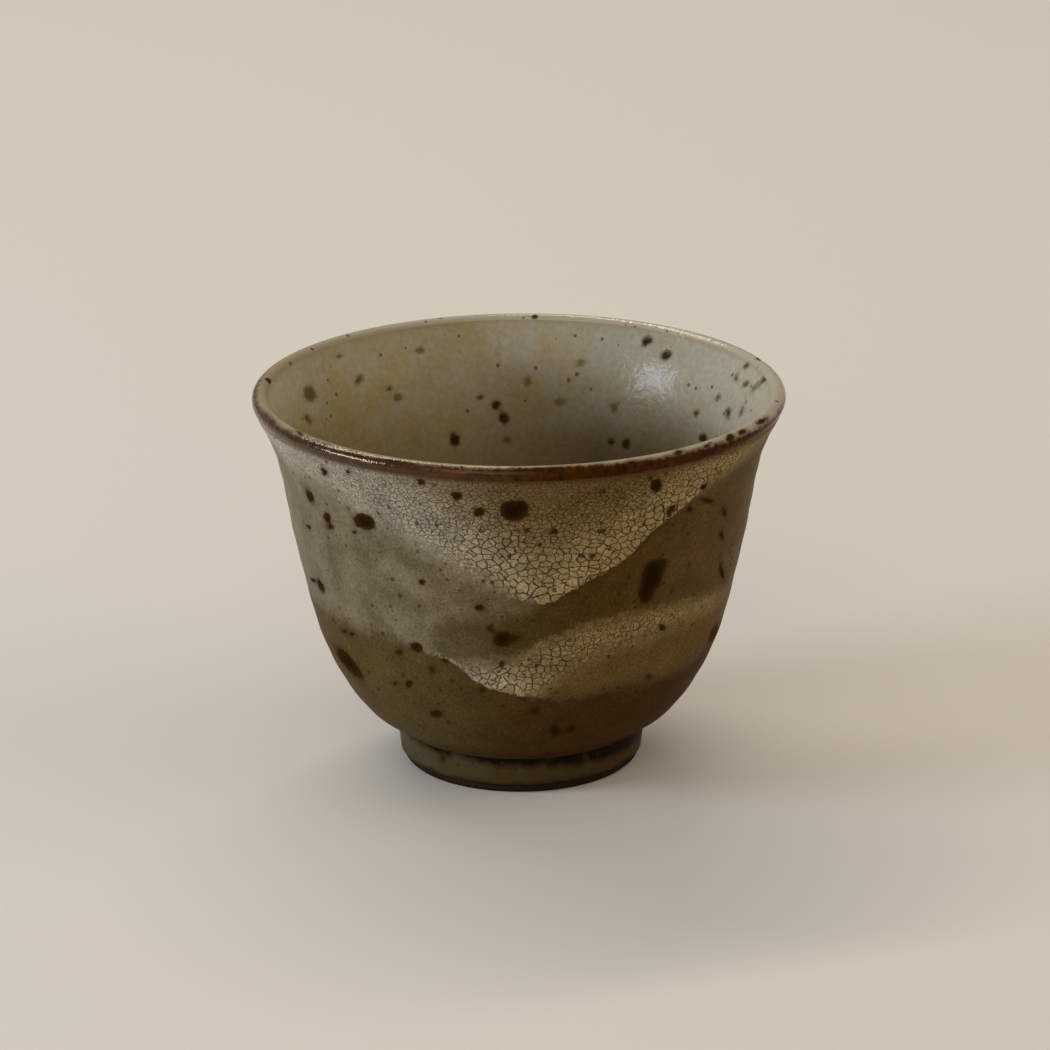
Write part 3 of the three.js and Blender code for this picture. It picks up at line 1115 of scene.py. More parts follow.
@dataclass(frozen=True)
class CrackleAshGlaze(Finish):
    """Wood-ash glaze fired over iron-bearing stoneware, with white crackle glaze poured on in sweeps.

    The ash melts to a satin olive-grey that breaks brown where it is thin. The pours stay opaque and shrink
    more than the clay, so they craze into cells, wide where the glaze is thick, with dark lines where tea
    and iron have stained the cracks. Painted light and shade lie in the colours as well.
    """

    name: str = "crackle_ash_glaze_fired"
    ash_light: str = "#706751"
    ash_shade: str = "#5d523a"
    ash_brown: str = "#614d30"
    # Bare facet greyer on the lit left and browner on the shaded right: painted light and shade
    bare: str = "#4a3717"
    bare_left: str = "#4b4127"
    # The lower wall's colours, darkened by painted shade where it faces down, more on the right
    shaded_base_left: str = "#504326"
    shaded_base_right: str = "#432d10"
    band: str = "#5f4b28"
    # Crackle cells greyer on the lit left and warmer on the shaded right: painted light and shade
    cell_grey: str = "#a49b87"
    cell_warm: str = "#a48f62"
    cell_thin: str = "#67532e"
    crack: str = "#2d1e0c"
    # Colour of the painted highlight along the lower pour's crest
    tail: str = "#9c937e"
    bleed: str = "#4c3117"
    mottle: float = 5.0
    grain: float = 0.4
    ragged: float = 1.3
    ragged_size: float = 1.4
    band_soft: float = 2.0
    crackle_soft: float = 2.6
    largest_cell: float = 1.75
    finer: float = 1.36
    finest_step: float = 4.0
    flatter: float = 0.16
    bend_size: float = 1.2
    bend: float = 1.1
    crack_width: float = 0.4
    crack_widths: Span = (0.55, 1.2)
    crack_core: float = 0.2
    hair_finer: float = 1.7
    hair_width: float = 0.24
    hair_strength: float = 0.6
    hair_cells: Span = (0.5, 0.6)
    cell_tones: Span = (0.62, 1.27)
    pour_cover: float = 0.9
    crack_stain: float = 0.95
    stained_sizes: Span = (-0.6, 0.7)
    brown_side: Span = (0.3, 0.85)
    brown_cover: float = 0.85
    bare_side: Span = (0.3, 1.0)
    yellow_side: Span = (0.28, 1.0)
    highlight_breaks: Span = (0.35, 0.6)
    seep_side: Span = (0.6, 1.0)
    seep_reach: Span = (-0.4, -1.2)
    bleed_full: float = 0.5
    bleed_cover: float = 0.85
    dull_by: float = 0.6
    flecks: Span = (0.6, 1.4)
    patches: Span = (0.8, 1.2)
    roughness: Span = (0.42, 0.56)
    sheen: Span = (0.18, 0.015)
    relief: float = 0.14
    bloom: IronBloom = IronBloom()

    def crazing(self, node: Callable, size: Any, cloud: Any) -> tuple[Any, Any]:
        """Draws the crackle over the unrolled wall, in steps of cell size.

        Args:
            node: Adds a node to the material.
            size: Socket of the cells' size, from 0 for the finest to 1.
            cloud: Socket of a slow noise that breaks up the steps.

        Returns:
            Sockets of the cracks, from 0 to 1, and of a random tone for each cell.
        """
        ground = node(Kind.GROUND, out="Object")
        drift = node(
            Kind.NOISE, {"Vector": ground, "Scale": repeats(self.bend_size), "Detail": 4.0}, "Color"
        )
        centred = node(Kind.VECTOR, {0: drift, 1: (0.5, 0.5, 0.5)}, operation="SUBTRACT")
        place = node(Kind.STORED, out="Vector", attribute_name=Mark.PLACE.value)
        pushed = node(Kind.VECTOR, {0: centred, 1: (self.bend,) * 3, 2: place}, operation="MULTIPLY_ADD")
        rising = node(Kind.RAMP, {"Value": size, TO: (self.finest_step, 0.0)})
        uneven = node(Kind.MATH, {0: cloud, 1: rising}, operation="ADD")
        level = node(Kind.MATH, {0: uneven}, operation="FLOOR")
        growth = node(Kind.MATH, {0: self.finer, 1: level}, operation="POWER")
        scale = node(Kind.MATH, {0: growth, 1: 1 / self.largest_cell}, operation="MULTIPLY")
        taller = node(Kind.MATH, {0: level, 1: self.flatter, 2: 1.0}, operation="MULTIPLY_ADD")
        squash = node(Kind.JOINED, {"X": 1.0, "Y": taller, "Z": 1.0})
        flattened = node(Kind.VECTOR, {0: pushed, 1: squash}, operation="MULTIPLY")
        cells = {"Vector": flattened, "Scale": scale, "Randomness": 1.0}
        flat = {"voronoi_dimensions": "2D"}
        edges = {**flat, "feature": "DISTANCE_TO_EDGE"}
        gap = node(Kind.CELLS, cells, "Distance", **edges)
        tone = node(Kind.CELLS, cells, "Color", **flat)
        thinner = node(Kind.MATH, {0: growth, 1: 0.5}, operation="POWER")
        narrowed = node(Kind.MATH, {0: scale, 1: thinner}, operation="DIVIDE")
        gap_mm = node(Kind.MATH, {0: gap, 1: narrowed}, operation="DIVIDE")
        widest = self.crack_width / 2
        widths = [share * widest for share in self.crack_widths]
        width = node(Kind.RAMP, {"Value": drift, FROM: NOISE_SPAN, TO: widths})
        crack = node(Kind.RAMP, {"Value": gap_mm, FROM: (self.crack_core * widest, width), TO: (1.0, 0.0)})
        split = node(Kind.MATH, {0: scale, 1: self.hair_finer}, operation="MULTIPLY")
        hair_gap = node(Kind.CELLS, {**cells, "Scale": split}, "Distance", **edges)
        hair_mm = node(Kind.MATH, {0: hair_gap, 1: split}, operation="DIVIDE")
        hair = node(
            Kind.RAMP, {"Value": hair_mm, FROM: (0.0, self.hair_width / 2), TO: (self.hair_strength, 0.0)}
        )
        shown = node(Kind.RAMP, {"Value": tone, FROM: self.hair_cells})
        hairs = node(Kind.MATH, {0: hair, 1: shown}, operation="MULTIPLY")
        return node(Kind.MATH, {0: crack, 1: hairs}, operation="MAXIMUM"), tone

    def above(self, node: Callable, distance: Any, soft: Any, wander: Any) -> Any:
        """Marks the side above a glaze's edge.

        Args:
            node: Adds a node to the material.
            distance: Socket of the distance above the edge, in millimetres.
            soft: Socket or number of half the edge's width, in millimetres.
            wander: Socket of how far the edge strays, in millimetres.

        Returns:
            Socket of the mark, from 0 below the edge to 1 above it.
        """
        strayed = node(Kind.MATH, {0: distance, 1: wander}, operation="ADD")
        under = node(Kind.MATH, {0: soft, 1: -1.0}, operation="MULTIPLY")
        return node(Kind.RAMP, {"Value": strayed, FROM: (under, soft)}, interpolation_type="SMOOTHSTEP")

    def sockets(self, node: Callable) -> dict[str, Any]:
        """Builds the glaze: ash and bare zones, the band, the lower wall darkened by painted shade, painted
        light and shade from left to right, the crazed pours, a painted highlight on a crest, the lip's bleed
        and the iron.

        Args:
            node: Adds a node to the material.

        Returns:
            What goes into each input of the surface shader.
        """
        ground = node(Kind.GROUND, out="Object")
        place = node(Kind.STORED, out="Vector", attribute_name=Mark.PLACE.value)
        _, _, under_lip = node(Kind.PARTS, {0: place}).node.outputs
        edges = node(Kind.STORED, out="Vector", attribute_name=Mark.EDGES.value)
        above_upper, above_lower, above_band = node(Kind.PARTS, {0: edges}).node.outputs
        softness = node(Kind.STORED, out="Vector", attribute_name=Mark.SOFTNESS.value)
        upper_soft, lower_soft, above_crackle = node(Kind.PARTS, {0: softness}).node.outputs
        shares = node(Kind.STORED, out="Vector", attribute_name=Mark.SHARES.value)
        wiped, in_band, warm_shaded_side = node(Kind.PARTS, {0: shares}).node.outputs
        pours = node(Kind.STORED, out="Vector", attribute_name=Mark.POURS.value)
        size, thick, tail = node(Kind.PARTS, {0: pours}).node.outputs
        cloud = node(
            Kind.NOISE, {"Vector": ground, "Scale": repeats(self.mottle), "Detail": 6.0, "Roughness": 0.65}
        )
        grain = node(
            Kind.NOISE, {"Vector": ground, "Scale": repeats(self.grain), "Detail": 3.0, "Roughness": 0.6}
        )
        straying = node(Kind.NOISE, {"Vector": ground, "Scale": repeats(self.ragged_size), "Detail": 4.0})
        wander = node(Kind.RAMP, {"Value": straying, TO: (-self.ragged, self.ragged)})
        upper = self.above(node, above_upper, upper_soft, wander)
        wall = self.above(node, above_lower, lower_soft, wander)
        over_band = self.above(node, above_band, self.band_soft, wander)
        crackled = self.above(node, above_crackle, self.crackle_soft, wander)
        under_band = node(Kind.MATH, {0: 1.0, 1: over_band}, operation="SUBTRACT")
        low_wall = node(Kind.MATH, {0: under_band, 1: wall}, operation="MULTIPLY")
        band = node(Kind.MATH, {0: low_wall, 1: in_band}, operation="MULTIPLY")
        crazed = node(Kind.MATH, {0: band, 1: crackled}, operation="MULTIPLY")
        bare = node(Kind.MATH, {0: over_band, 1: wiped}, operation="MULTIPLY")
        base = node(Kind.MATH, {0: 1.0, 1: wall}, operation="SUBTRACT")

        cloudy = node(Kind.RAMP, {"Value": cloud, FROM: NOISE_SPAN})
        colour = node(
            Kind.MIX,
            {0: cloudy, UNDER: linear(self.ash_shade), OVER: linear(self.ash_light)},
            MIXED,
            data_type="RGBA",
        )
        # Painted shade by side: the ash turns browner towards the shaded right
        shade_browned = node(Kind.RAMP, {"Value": warm_shaded_side, FROM: self.brown_side, TO: (0.0, self.brown_cover)})
        colour = node(
            Kind.MIX, {0: shade_browned, UNDER: colour, OVER: linear(self.ash_brown)}, MIXED, data_type="RGBA"
        )
        # The lower wall darkened by painted shade, more on the right
        low = node(
            Kind.MIX,
            {0: warm_shaded_side, UNDER: linear(self.shaded_base_left), OVER: linear(self.shaded_base_right)},
            MIXED,
            data_type="RGBA",
        )
        # The bare facet greyer on the lit left and browner on the shaded right: painted light and shade
        turned = node(Kind.RAMP, {"Value": warm_shaded_side, FROM: self.bare_side})
        rubbed = node(
            Kind.MIX,
            {0: turned, UNDER: linear(self.bare_left), OVER: linear(self.bare)},
            MIXED,
            data_type="RGBA",
        )
        for share, over in ((bare, rubbed), (base, low), (band, linear(self.band))):
            colour = node(Kind.MIX, {0: share, UNDER: colour, OVER: over}, MIXED, data_type="RGBA")

        crack, tone = self.crazing(node, size, cloud)
        # Crackle cells greyer on the lit left and warmer on the shaded right: painted light and shade
        shade_yellowed = node(Kind.RAMP, {"Value": warm_shaded_side, FROM: self.yellow_side})
        pale = node(
            Kind.MIX,
            {0: shade_yellowed, UNDER: linear(self.cell_grey), OVER: linear(self.cell_warm)},
            MIXED,
            data_type="RGBA",
        )
        cell = node(
            Kind.MIX, {0: thick, UNDER: linear(self.cell_thin), OVER: pale}, MIXED, data_type="RGBA"
        )
        bright = node(Kind.RAMP, {"Value": tone, TO: self.cell_tones})
        toned = node(Kind.VECTOR, {0: cell, 1: bright}, operation="MULTIPLY")
        pour = node(Kind.MATH, {0: upper, 1: crazed}, operation="MAXIMUM")
        cover = node(Kind.MATH, {0: pour, 1: self.pour_cover}, operation="MULTIPLY")
        poured = node(Kind.MIX, {0: cover, UNDER: colour, OVER: toned}, MIXED, data_type="RGBA")
        stain = node(Kind.RAMP, {"Value": size, FROM: self.stained_sizes, TO: (0.0, self.crack_stain)})
        stained = node(Kind.MATH, {0: pour, 1: stain}, operation="MULTIPLY")
        drawn = node(Kind.MATH, {0: crack, 1: stained}, operation="MULTIPLY")
        cracked = node(
            Kind.MIX, {0: drawn, UNDER: poured, OVER: linear(self.crack)}, MIXED, data_type="RGBA"
        )
        # Painted highlight along the lower pour's crest, broken by the grain
        broken = node(Kind.RAMP, {"Value": grain, FROM: self.highlight_breaks})
        crest = node(Kind.MATH, {0: tail, 1: broken}, operation="MULTIPLY")
        highlighted = node(
            Kind.MIX, {0: crest, UNDER: cracked, OVER: linear(self.tail)}, MIXED, data_type="RGBA"
        )
        fleck = node(Kind.RAMP, {"Value": grain, FROM: GRAIN_SPAN, TO: self.flecks})
        patchy = node(Kind.RAMP, {"Value": cloud, FROM: NOISE_SPAN, TO: self.patches})
        uneven = node(Kind.MATH, {0: fleck, 1: patchy}, operation="MULTIPLY")
        grained = node(Kind.VECTOR, {0: highlighted, 1: uneven}, operation="MULTIPLY")
        bled = node(Kind.MATH, {0: cloud, 1: under_lip}, operation="SUBTRACT")
        seeped = node(Kind.RAMP, {"Value": warm_shaded_side, FROM: self.seep_side, TO: self.seep_reach})
        bleed = node(
            Kind.RAMP, {"Value": bled, FROM: (seeped, self.bleed_full), TO: (0.0, self.bleed_cover)}
        )
        lipped = node(
            Kind.MIX, {0: bleed, UNDER: grained, OVER: linear(self.bleed)}, MIXED, data_type="RGBA"
        )
        finished, spot = self.bloom.over(node, lipped)

        satin = node(Kind.RAMP, {"Value": cloud, FROM: NOISE_SPAN, TO: self.roughness})
        dull = node(Kind.MATH, {0: base, 1: warm_shaded_side}, operation="MAXIMUM")
        sheen = node(Kind.RAMP, {"Value": dull, FROM: (0.0, self.dull_by), TO: self.sheen})
        shine = node(Kind.RAMP, {"Value": spot, TO: (sheen, 0.0)})
        height = node(Kind.MATH, {0: grain, 1: drawn}, operation="SUBTRACT")
        bump = node(Kind.BUMP, {"Strength": 0.35, "Distance": self.relief * METRES, "Height": height})
        return {"Base Color": finished, "Roughness": satin, "Specular IOR Level": shine, "Normal": bump}


@dataclass(frozen=True)
class LinerGlaze(Finish):
    """The same ash glaze poured inside, thicker, glossier and mottled with stain, darkened olive towards the
    floor by painted shade and paled under the rim partly by painted light.
    """

    name: str = "liner_ash_glaze_fired"
    ash: str = "#9a9483"
    stain: str = "#94875f"
    # Colours deeper down, darkened towards olive by painted shade
    deep: str = "#654f23"
    deepest_shade: str = "#403010"
    # Paler glaze under the rim: painted light on the right, partly whitish glaze, and a painted sheen on the
    # left
    pale: str = "#a39c89"
    worn: str = "#8d8064"
    mottle: float = 6.0
    grain: float = 0.9
    ripple: float = 1.5
    ripple_depth: float = 0.3
    flecks: Span = (0.87, 1.13)
    roughness: Span = (0.1, 0.24)
    shine: float = 0.12
    ash_side: float = -0.3
    stain_span: Span = (0.2, 0.52)
    deep_cover: float = 0.9
    pool_cover: float = 0.35
    left_sheen_cover: float = 0.9
    lit_side_shade: float = 0.15
    side_shade_cover: float = 0.7
    lowest_shade_cover: float = 0.3
    worn_cover: float = 0.6
    worn_down_to: float = 0.8
    highlight_depth: Span = (9.0, 2.0)
    pool_depth: Span = (2.0, 9.0)
    deep_depth: Span = (9.0, 32.0)
    side_shade_depth: Span = (6.0, 20.0)
    lowest_shade_depth: Span = (10.5, 16.0)
    left_sheen_side: Span = (0.1, 0.0)
    pool_begins: Span = (0.36, 0.5)
    pool_ends: Span = (0.76, 0.62)
    side_shade_begins: Span = (0.36, 0.7)
    lowest_shade_side: Span = (0.78, 0.88)
    lit_side: Span = (0.8, 0.96)
    bloom: IronBloom = IronBloom(
        iron="#1d1307", brown="#3a2b14", rust="#65532f", ember="#65532f", blur=0.22, core=0.7, halo=0.5,
        halo_strength=0.35, pepper_share=0.22, pepper_size=0.38,
    )

    def sockets(self, node: Callable) -> dict[str, Any]:
        """Builds the glaze: mottled ash and stain, painted shade deeper down, painted light and sheen under
        the rim, a rubbed edge under the lip and the iron.

        Args:
            node: Adds a node to the material.

        Returns:
            What goes into each input of the surface shader.
        """
        ground = node(Kind.GROUND, out="Object")
        place = node(Kind.STORED, out="Vector", attribute_name=Mark.PLACE.value)
        _, down, _ = node(Kind.PARTS, {0: place}).node.outputs
        spots = node(Kind.STORED, out="Vector", attribute_name=Mark.SPOTS.value)
        _, _, rightward = node(Kind.PARTS, {0: spots}).node.outputs
        cloud = node(
            Kind.NOISE, {"Vector": ground, "Scale": repeats(self.mottle), "Detail": 7.0, "Roughness": 0.7}
        )
        leaning = node(Kind.MATH, {0: rightward, 1: self.ash_side, 2: cloud}, operation="MULTIPLY_ADD")
        stained = node(Kind.RAMP, {"Value": leaning, FROM: self.stain_span})
        colour = node(
            Kind.MIX,
            {0: stained, UNDER: linear(self.ash), OVER: linear(self.stain)},
            MIXED,
            data_type="RGBA",
        )
        # Painted shade: darker and more olive deeper in the bowl, with a darker band just under the rim at
        # the front and back
        sunk = node(Kind.RAMP, {"Value": down, FROM: self.deep_depth, TO: (0.0, self.deep_cover)})
        begins = node(Kind.RAMP, {"Value": rightward, FROM: self.pool_begins})
        ends = node(Kind.RAMP, {"Value": rightward, FROM: self.pool_ends})
        behind = node(Kind.MATH, {0: begins, 1: ends}, operation="MULTIPLY")
        early = node(Kind.RAMP, {"Value": down, FROM: self.pool_depth, TO: (0.0, self.pool_cover)})
        dark_band = node(Kind.MATH, {0: behind, 1: early}, operation="MULTIPLY")
        tinted = node(Kind.MATH, {0: sunk, 1: dark_band}, operation="MAXIMUM")
        # Painted light under the rim on the right, partly whitish glaze, and a painted sheen on the left
        lit = node(Kind.RAMP, {"Value": rightward, FROM: self.lit_side})
        left_sheen = node(
            Kind.RAMP, {"Value": rightward, FROM: self.left_sheen_side, TO: (0.0, self.left_sheen_cover)}
        )
        highlit_and_sheen = node(Kind.MATH, {0: lit, 1: left_sheen}, operation="MAXIMUM")
        high = node(Kind.RAMP, {"Value": down, FROM: self.highlight_depth, TO: (0.0, highlit_and_sheen)})
        rim_highlit = node(Kind.MIX, {0: high, UNDER: colour, OVER: linear(self.pale)}, MIXED, data_type="RGBA")
        deep = node(Kind.MIX, {0: tinted, UNDER: rim_highlit, OVER: linear(self.deep)}, MIXED, data_type="RGBA")
        # Painted shade low on the right side, less where painted light falls, darkest lowest on the far
        # right
        begun = node(Kind.RAMP, {"Value": rightward, FROM: self.side_shade_begins})
        aside = node(Kind.RAMP, {"Value": lit, TO: (begun, self.lit_side_shade)})
        low = node(Kind.RAMP, {"Value": down, FROM: self.side_shade_depth, TO: (0.0, self.side_shade_cover)})
        side_shade = node(Kind.MATH, {0: low, 1: aside}, operation="MULTIPLY")
        right = node(Kind.RAMP, {"Value": rightward, FROM: self.lowest_shade_side})
        lowest = node(
            Kind.RAMP, {"Value": down, FROM: self.lowest_shade_depth, TO: (0.0, self.lowest_shade_cover)}
        )
        lowest_shade = node(Kind.MATH, {0: right, 1: lowest, 2: side_shade}, operation="MULTIPLY_ADD")
        deep_shaded = node(
            Kind.MIX, {0: lowest_shade, UNDER: deep, OVER: linear(self.deepest_shade)}, MIXED, data_type="RGBA"
        )
        grain = node(Kind.NOISE, {"Vector": ground, "Scale": repeats(self.grain), "Detail": 4.0})
        fleck = node(Kind.RAMP, {"Value": grain, FROM: GRAIN_SPAN, TO: self.flecks})
        flecked = node(Kind.VECTOR, {0: deep_shaded, 1: fleck}, operation="MULTIPLY")
        rubbed = node(
            Kind.RAMP, {"Value": down, FROM: (0.0, self.worn_down_to), TO: (self.worn_cover, 0.0)}
        )
        edged = node(
            Kind.MIX, {0: rubbed, UNDER: flecked, OVER: linear(self.worn)}, MIXED, data_type="RGBA"
        )
        finished, _ = self.bloom.over(node, edged)
        gloss = node(Kind.RAMP, {"Value": cloud, FROM: NOISE_SPAN, TO: self.roughness})
        ripple = node(Kind.NOISE, {"Vector": ground, "Scale": repeats(self.ripple), "Detail": 3.0})
        bump = node(Kind.BUMP, {"Strength": 0.4, "Distance": self.ripple_depth * METRES, "Height": ripple})
        return {"Base Color": finished, "Roughness": gloss, "Specular IOR Level": self.shine, "Normal": bump}


@dataclass(frozen=True)
class LipGlaze(Finish):
    """Iron glaze that ran thin over the lip: glossy red-brown outside, worn to tan along the top."""

    name: str = "iron_lip_glaze_fired"
    brown: str = "#462407"
    dark: str = "#261205"
    tan: str = "#8d7f60"
    pale: str = "#9f9783"
    glint: str = "#ffe0bc"
    streak: float = 1.2
    patch: float = 5.0
    ripple: float = 0.6
    ripple_depth: float = 0.15
    roughness: Span = (0.1, 0.22)
    polish: Span = (0.04, 0.6)
    wetness: Span = (0.04, 1.0)
    spot_shine: float = 0.02
    # Darker towards the front left
    darker_side: Span = (0.965, 1.0)
    darker_share: float = 0.15
    streak_span: Span = (0.35, 0.65)
    streak_share: float = 0.3
    patch_share: float = 0.25
    away_side: Span = (0.8, 0.33)
    away_share: float = 0.25
    worn_from: Span = (0.74, 0.94)
    polished_side: Span = (0.84, 0.97)
    wetted_side: Span = (0.2, 0.04)
    bloom: IronBloom = IronBloom(ragged=0.2, halo=0.4)

    def sockets(self, node: Callable) -> dict[str, Any]:
        """Builds the glaze: streaky brown, the worn top and the iron.

        Args:
            node: Adds a node to the material.

        Returns:
            What goes into each input of the surface shader.
        """
        ground = node(Kind.GROUND, out="Object")
        place = node(Kind.STORED, out="Vector", attribute_name=Mark.PLACE.value)
        _, _, across = node(Kind.PARTS, {0: place}).node.outputs
        spots = node(Kind.STORED, out="Vector", attribute_name=Mark.SPOTS.value)
        _, _, frontward = node(Kind.PARTS, {0: spots}).node.outputs
        cloud = node(
            Kind.NOISE, {"Vector": ground, "Scale": repeats(self.streak), "Detail": 4.0, "Roughness": 0.6}
        )
        # Darker towards the front left
        thick = node(
            Kind.RAMP, {"Value": frontward, FROM: self.darker_side, TO: (0.0, self.darker_share)}
        )
        shaded = node(Kind.MATH, {0: cloud, 1: thick}, operation="SUBTRACT")
        mixed = node(Kind.RAMP, {"Value": shaded, FROM: self.streak_span})
        colour = node(
            Kind.MIX,
            {0: mixed, UNDER: linear(self.dark), OVER: linear(self.brown)},
            MIXED,
            data_type="RGBA",
        )
        broad = node(Kind.NOISE, {"Vector": ground, "Scale": repeats(self.patch), "Detail": 2.0})
        slow = node(Kind.MATH, {0: broad, 1: self.patch_share, 2: across}, operation="MULTIPLY_ADD")
        uneven = node(Kind.MATH, {0: cloud, 1: self.streak_share, 2: slow}, operation="MULTIPLY_ADD")
        away = node(Kind.RAMP, {"Value": frontward, FROM: self.away_side})
        spread = node(Kind.MATH, {0: away, 1: self.away_share, 2: uneven}, operation="MULTIPLY_ADD")
        worn = node(Kind.RAMP, {"Value": spread, FROM: self.worn_from})
        bared = node(
            Kind.MIX, {0: away, UNDER: linear(self.tan), OVER: linear(self.pale)}, MIXED, data_type="RGBA"
        )
        rubbed = node(Kind.MIX, {0: worn, UNDER: colour, OVER: bared}, MIXED, data_type="RGBA")
        finished, spot = self.bloom.over(node, rubbed)
        polished = node(Kind.RAMP, {"Value": frontward, FROM: self.polished_side, TO: self.polish})
        wetted = node(Kind.RAMP, {"Value": frontward, FROM: self.wetted_side, TO: self.wetness})
        glossy = node(Kind.MATH, {0: polished, 1: wetted}, operation="MAXIMUM")
        shine = node(Kind.RAMP, {"Value": spot, TO: (glossy, self.spot_shine)})
        gloss = node(Kind.RAMP, {"Value": worn, TO: self.roughness})
        ripple = node(Kind.NOISE, {"Vector": ground, "Scale": repeats(self.ripple), "Detail": 2.0})
        bump = node(Kind.BUMP, {"Strength": 0.6, "Distance": self.ripple_depth * METRES, "Height": ripple})
        return {
            "Base Color": finished, "Roughness": gloss, "Specular IOR Level": shine,
            "Specular Tint": linear(self.glint), "Normal": bump,
        }


@dataclass(frozen=True)
class FootGlaze(Finish):
    """Ash glaze on the foot: grey-green on the lit left and olive on the shaded right by painted light and
    shade, dark in the groove under the bowl, and darkened along its low edge by painted shade.
    """

    name: str = "foot_ash_glaze_fired"
    green: str = "#48432b"
    olive: str = "#433317"
    # Colour of the dark groove under the bowl
    dark_band: str = "#150d03"
    # Painted shade along the low edge, where the foot nears the table
    shaded_low_edge: str = "#22160a"
    mottle: float = 4.5
    # How far the foot turns olive and dark towards the shaded right: painted shade
    olive_share: float = 0.5
    olive_span: Span = (0.45, 0.9)
    mottle_share: float = 0.7
    right_shade_share: float = 0.5
    edge_cover: float = 0.9
    dark_band_from: Span = (1.16, 1.45)
    edge_until: Span = (0.3, 0.52)
    roughness: Span = (0.36, 0.5)
    shine: float = 0.04
    relief: float = 0.15
    bloom: IronBloom = IronBloom(ragged=0.2)

    def sockets(self, node: Callable) -> dict[str, Any]:
        """Builds the glaze: mottled green and olive with painted light and shade from left to right, the
        dark groove under the bowl, the low edge darkened by painted shade and the iron.

        Args:
            node: Adds a node to the material.

        Returns:
            What goes into each input of the surface shader.
        """
        ground = node(Kind.GROUND, out="Object")
        place = node(Kind.STORED, out="Vector", attribute_name=Mark.PLACE.value)
        _, _, across = node(Kind.PARTS, {0: place}).node.outputs
        spots = node(Kind.STORED, out="Vector", attribute_name=Mark.SPOTS.value)
        _, _, rightward = node(Kind.PARTS, {0: spots}).node.outputs
        cloud = node(
            Kind.NOISE, {"Vector": ground, "Scale": repeats(self.mottle), "Detail": 5.0, "Roughness": 0.6}
        )
        # Greener and lighter on the lit left, darker olive on the shaded right: painted light and shade,
        # with mottle
        turned = node(Kind.MATH, {0: rightward, 1: self.olive_share, 2: cloud}, operation="MULTIPLY_ADD")
        mixed = node(Kind.RAMP, {"Value": turned, FROM: self.olive_span})
        colour = node(
            Kind.MIX,
            {0: mixed, UNDER: linear(self.green), OVER: linear(self.olive)},
            MIXED,
            data_type="RGBA",
        )
        uneven = node(Kind.MATH, {0: cloud, 1: self.mottle_share, 2: across}, operation="MULTIPLY_ADD")
        # Darker up the foot and towards the shaded right, where painted shade adds to the mottle
        darkening = node(Kind.MATH, {0: rightward, 1: self.right_shade_share, 2: uneven}, operation="MULTIPLY_ADD")
        # Dark in the groove under the bowl
        sunk = node(Kind.RAMP, {"Value": darkening, FROM: self.dark_band_from})
        dark_band = node(
            Kind.MIX, {0: sunk, UNDER: colour, OVER: linear(self.dark_band)}, MIXED, data_type="RGBA"
        )
        # Painted shade along the low edge, where the foot nears the table
        low = node(Kind.RAMP, {"Value": uneven, FROM: self.edge_until, TO: (self.edge_cover, 0.0)})
        edged = node(
            Kind.MIX, {0: low, UNDER: dark_band, OVER: linear(self.shaded_low_edge)}, MIXED, data_type="RGBA"
        )
        finished, _ = self.bloom.over(node, edged)
        satin = node(Kind.RAMP, {"Value": cloud, FROM: NOISE_SPAN, TO: self.roughness})
        bump = node(Kind.BUMP, {"Strength": 0.3, "Distance": self.relief * METRES, "Height": cloud})
        return {"Base Color": finished, "Roughness": satin, "Specular IOR Level": self.shine, "Normal": bump}


@dataclass(frozen=True)
class BareClay(Finish):
    """Iron-bearing stoneware left bare where the cup stands: matt, toasted brown and gritty."""

    name: str = "bare_stoneware_fired"
    clay: str = "#2d1e10"
    toasted: str = "#1b1108"
    grit: str = "#443422"
    grit_size: float = 0.6
    grit_depth: float = 0.1
    grit_edge: Span = (0.12, 0.3)
    grit_cover: float = 0.7
    patch: float = 7.0
    roughness: float = 0.82
    shine: float = 0.08

    def sockets(self, node: Callable) -> dict[str, Any]:
        """Builds the clay: toasted patches with paler grit.

        Args:
            node: Adds a node to the material.

        Returns:
            What goes into each input of the surface shader.
        """
        ground = node(Kind.GROUND, out="Object")
        cloud = node(Kind.NOISE, {"Vector": ground, "Scale": repeats(self.patch), "Detail": 5.0})
        colour = node(
            Kind.MIX,
            {0: cloud, UNDER: linear(self.clay), OVER: linear(self.toasted)},
            MIXED,
            data_type="RGBA",
        )
        grains = {"Vector": ground, "Scale": repeats(self.grit_size)}
        grit = node(Kind.CELLS, grains, "Distance")
        grain = node(Kind.RAMP, {"Value": grit, FROM: self.grit_edge, TO: (self.grit_cover, 0.0)})
        gritty = node(Kind.MIX, {0: grain, UNDER: colour, OVER: linear(self.grit)}, MIXED, data_type="RGBA")
        bump = node(Kind.BUMP, {"Strength": 0.4, "Distance": self.grit_depth * METRES, "Height": grit})
        matt = {"Roughness": self.roughness, "Specular IOR Level": self.shine}
        return {"Base Color": gritty, **matt, "Normal": bump}


@dataclass(frozen=True)
class Lamp:
    """A soft oblong lamp that shines at the cup, placed in metres."""

    name: str
    place: tuple[float, float, float]
    width: float
    height: float
    watts: float
    colour: str

    def add(self, target: Vector) -> None:
        """Adds the lamp.

        Args:
            target: The point that it is turned to.
        """
        light = bpy.data.lights.new(self.name, "AREA")
        light.shape = "RECTANGLE"
        light.size = self.width
        light.size_y = self.height
        light.energy = self.watts
        light.color = linear(self.colour)[:3]
        lamp = bpy.data.objects.new(self.name, light)
        lamp.location = self.place
        lamp.rotation_euler = (target - lamp.location).to_track_quat("-Z", "Y").to_euler()
        bpy.context.scene.collection.objects.link(lamp)


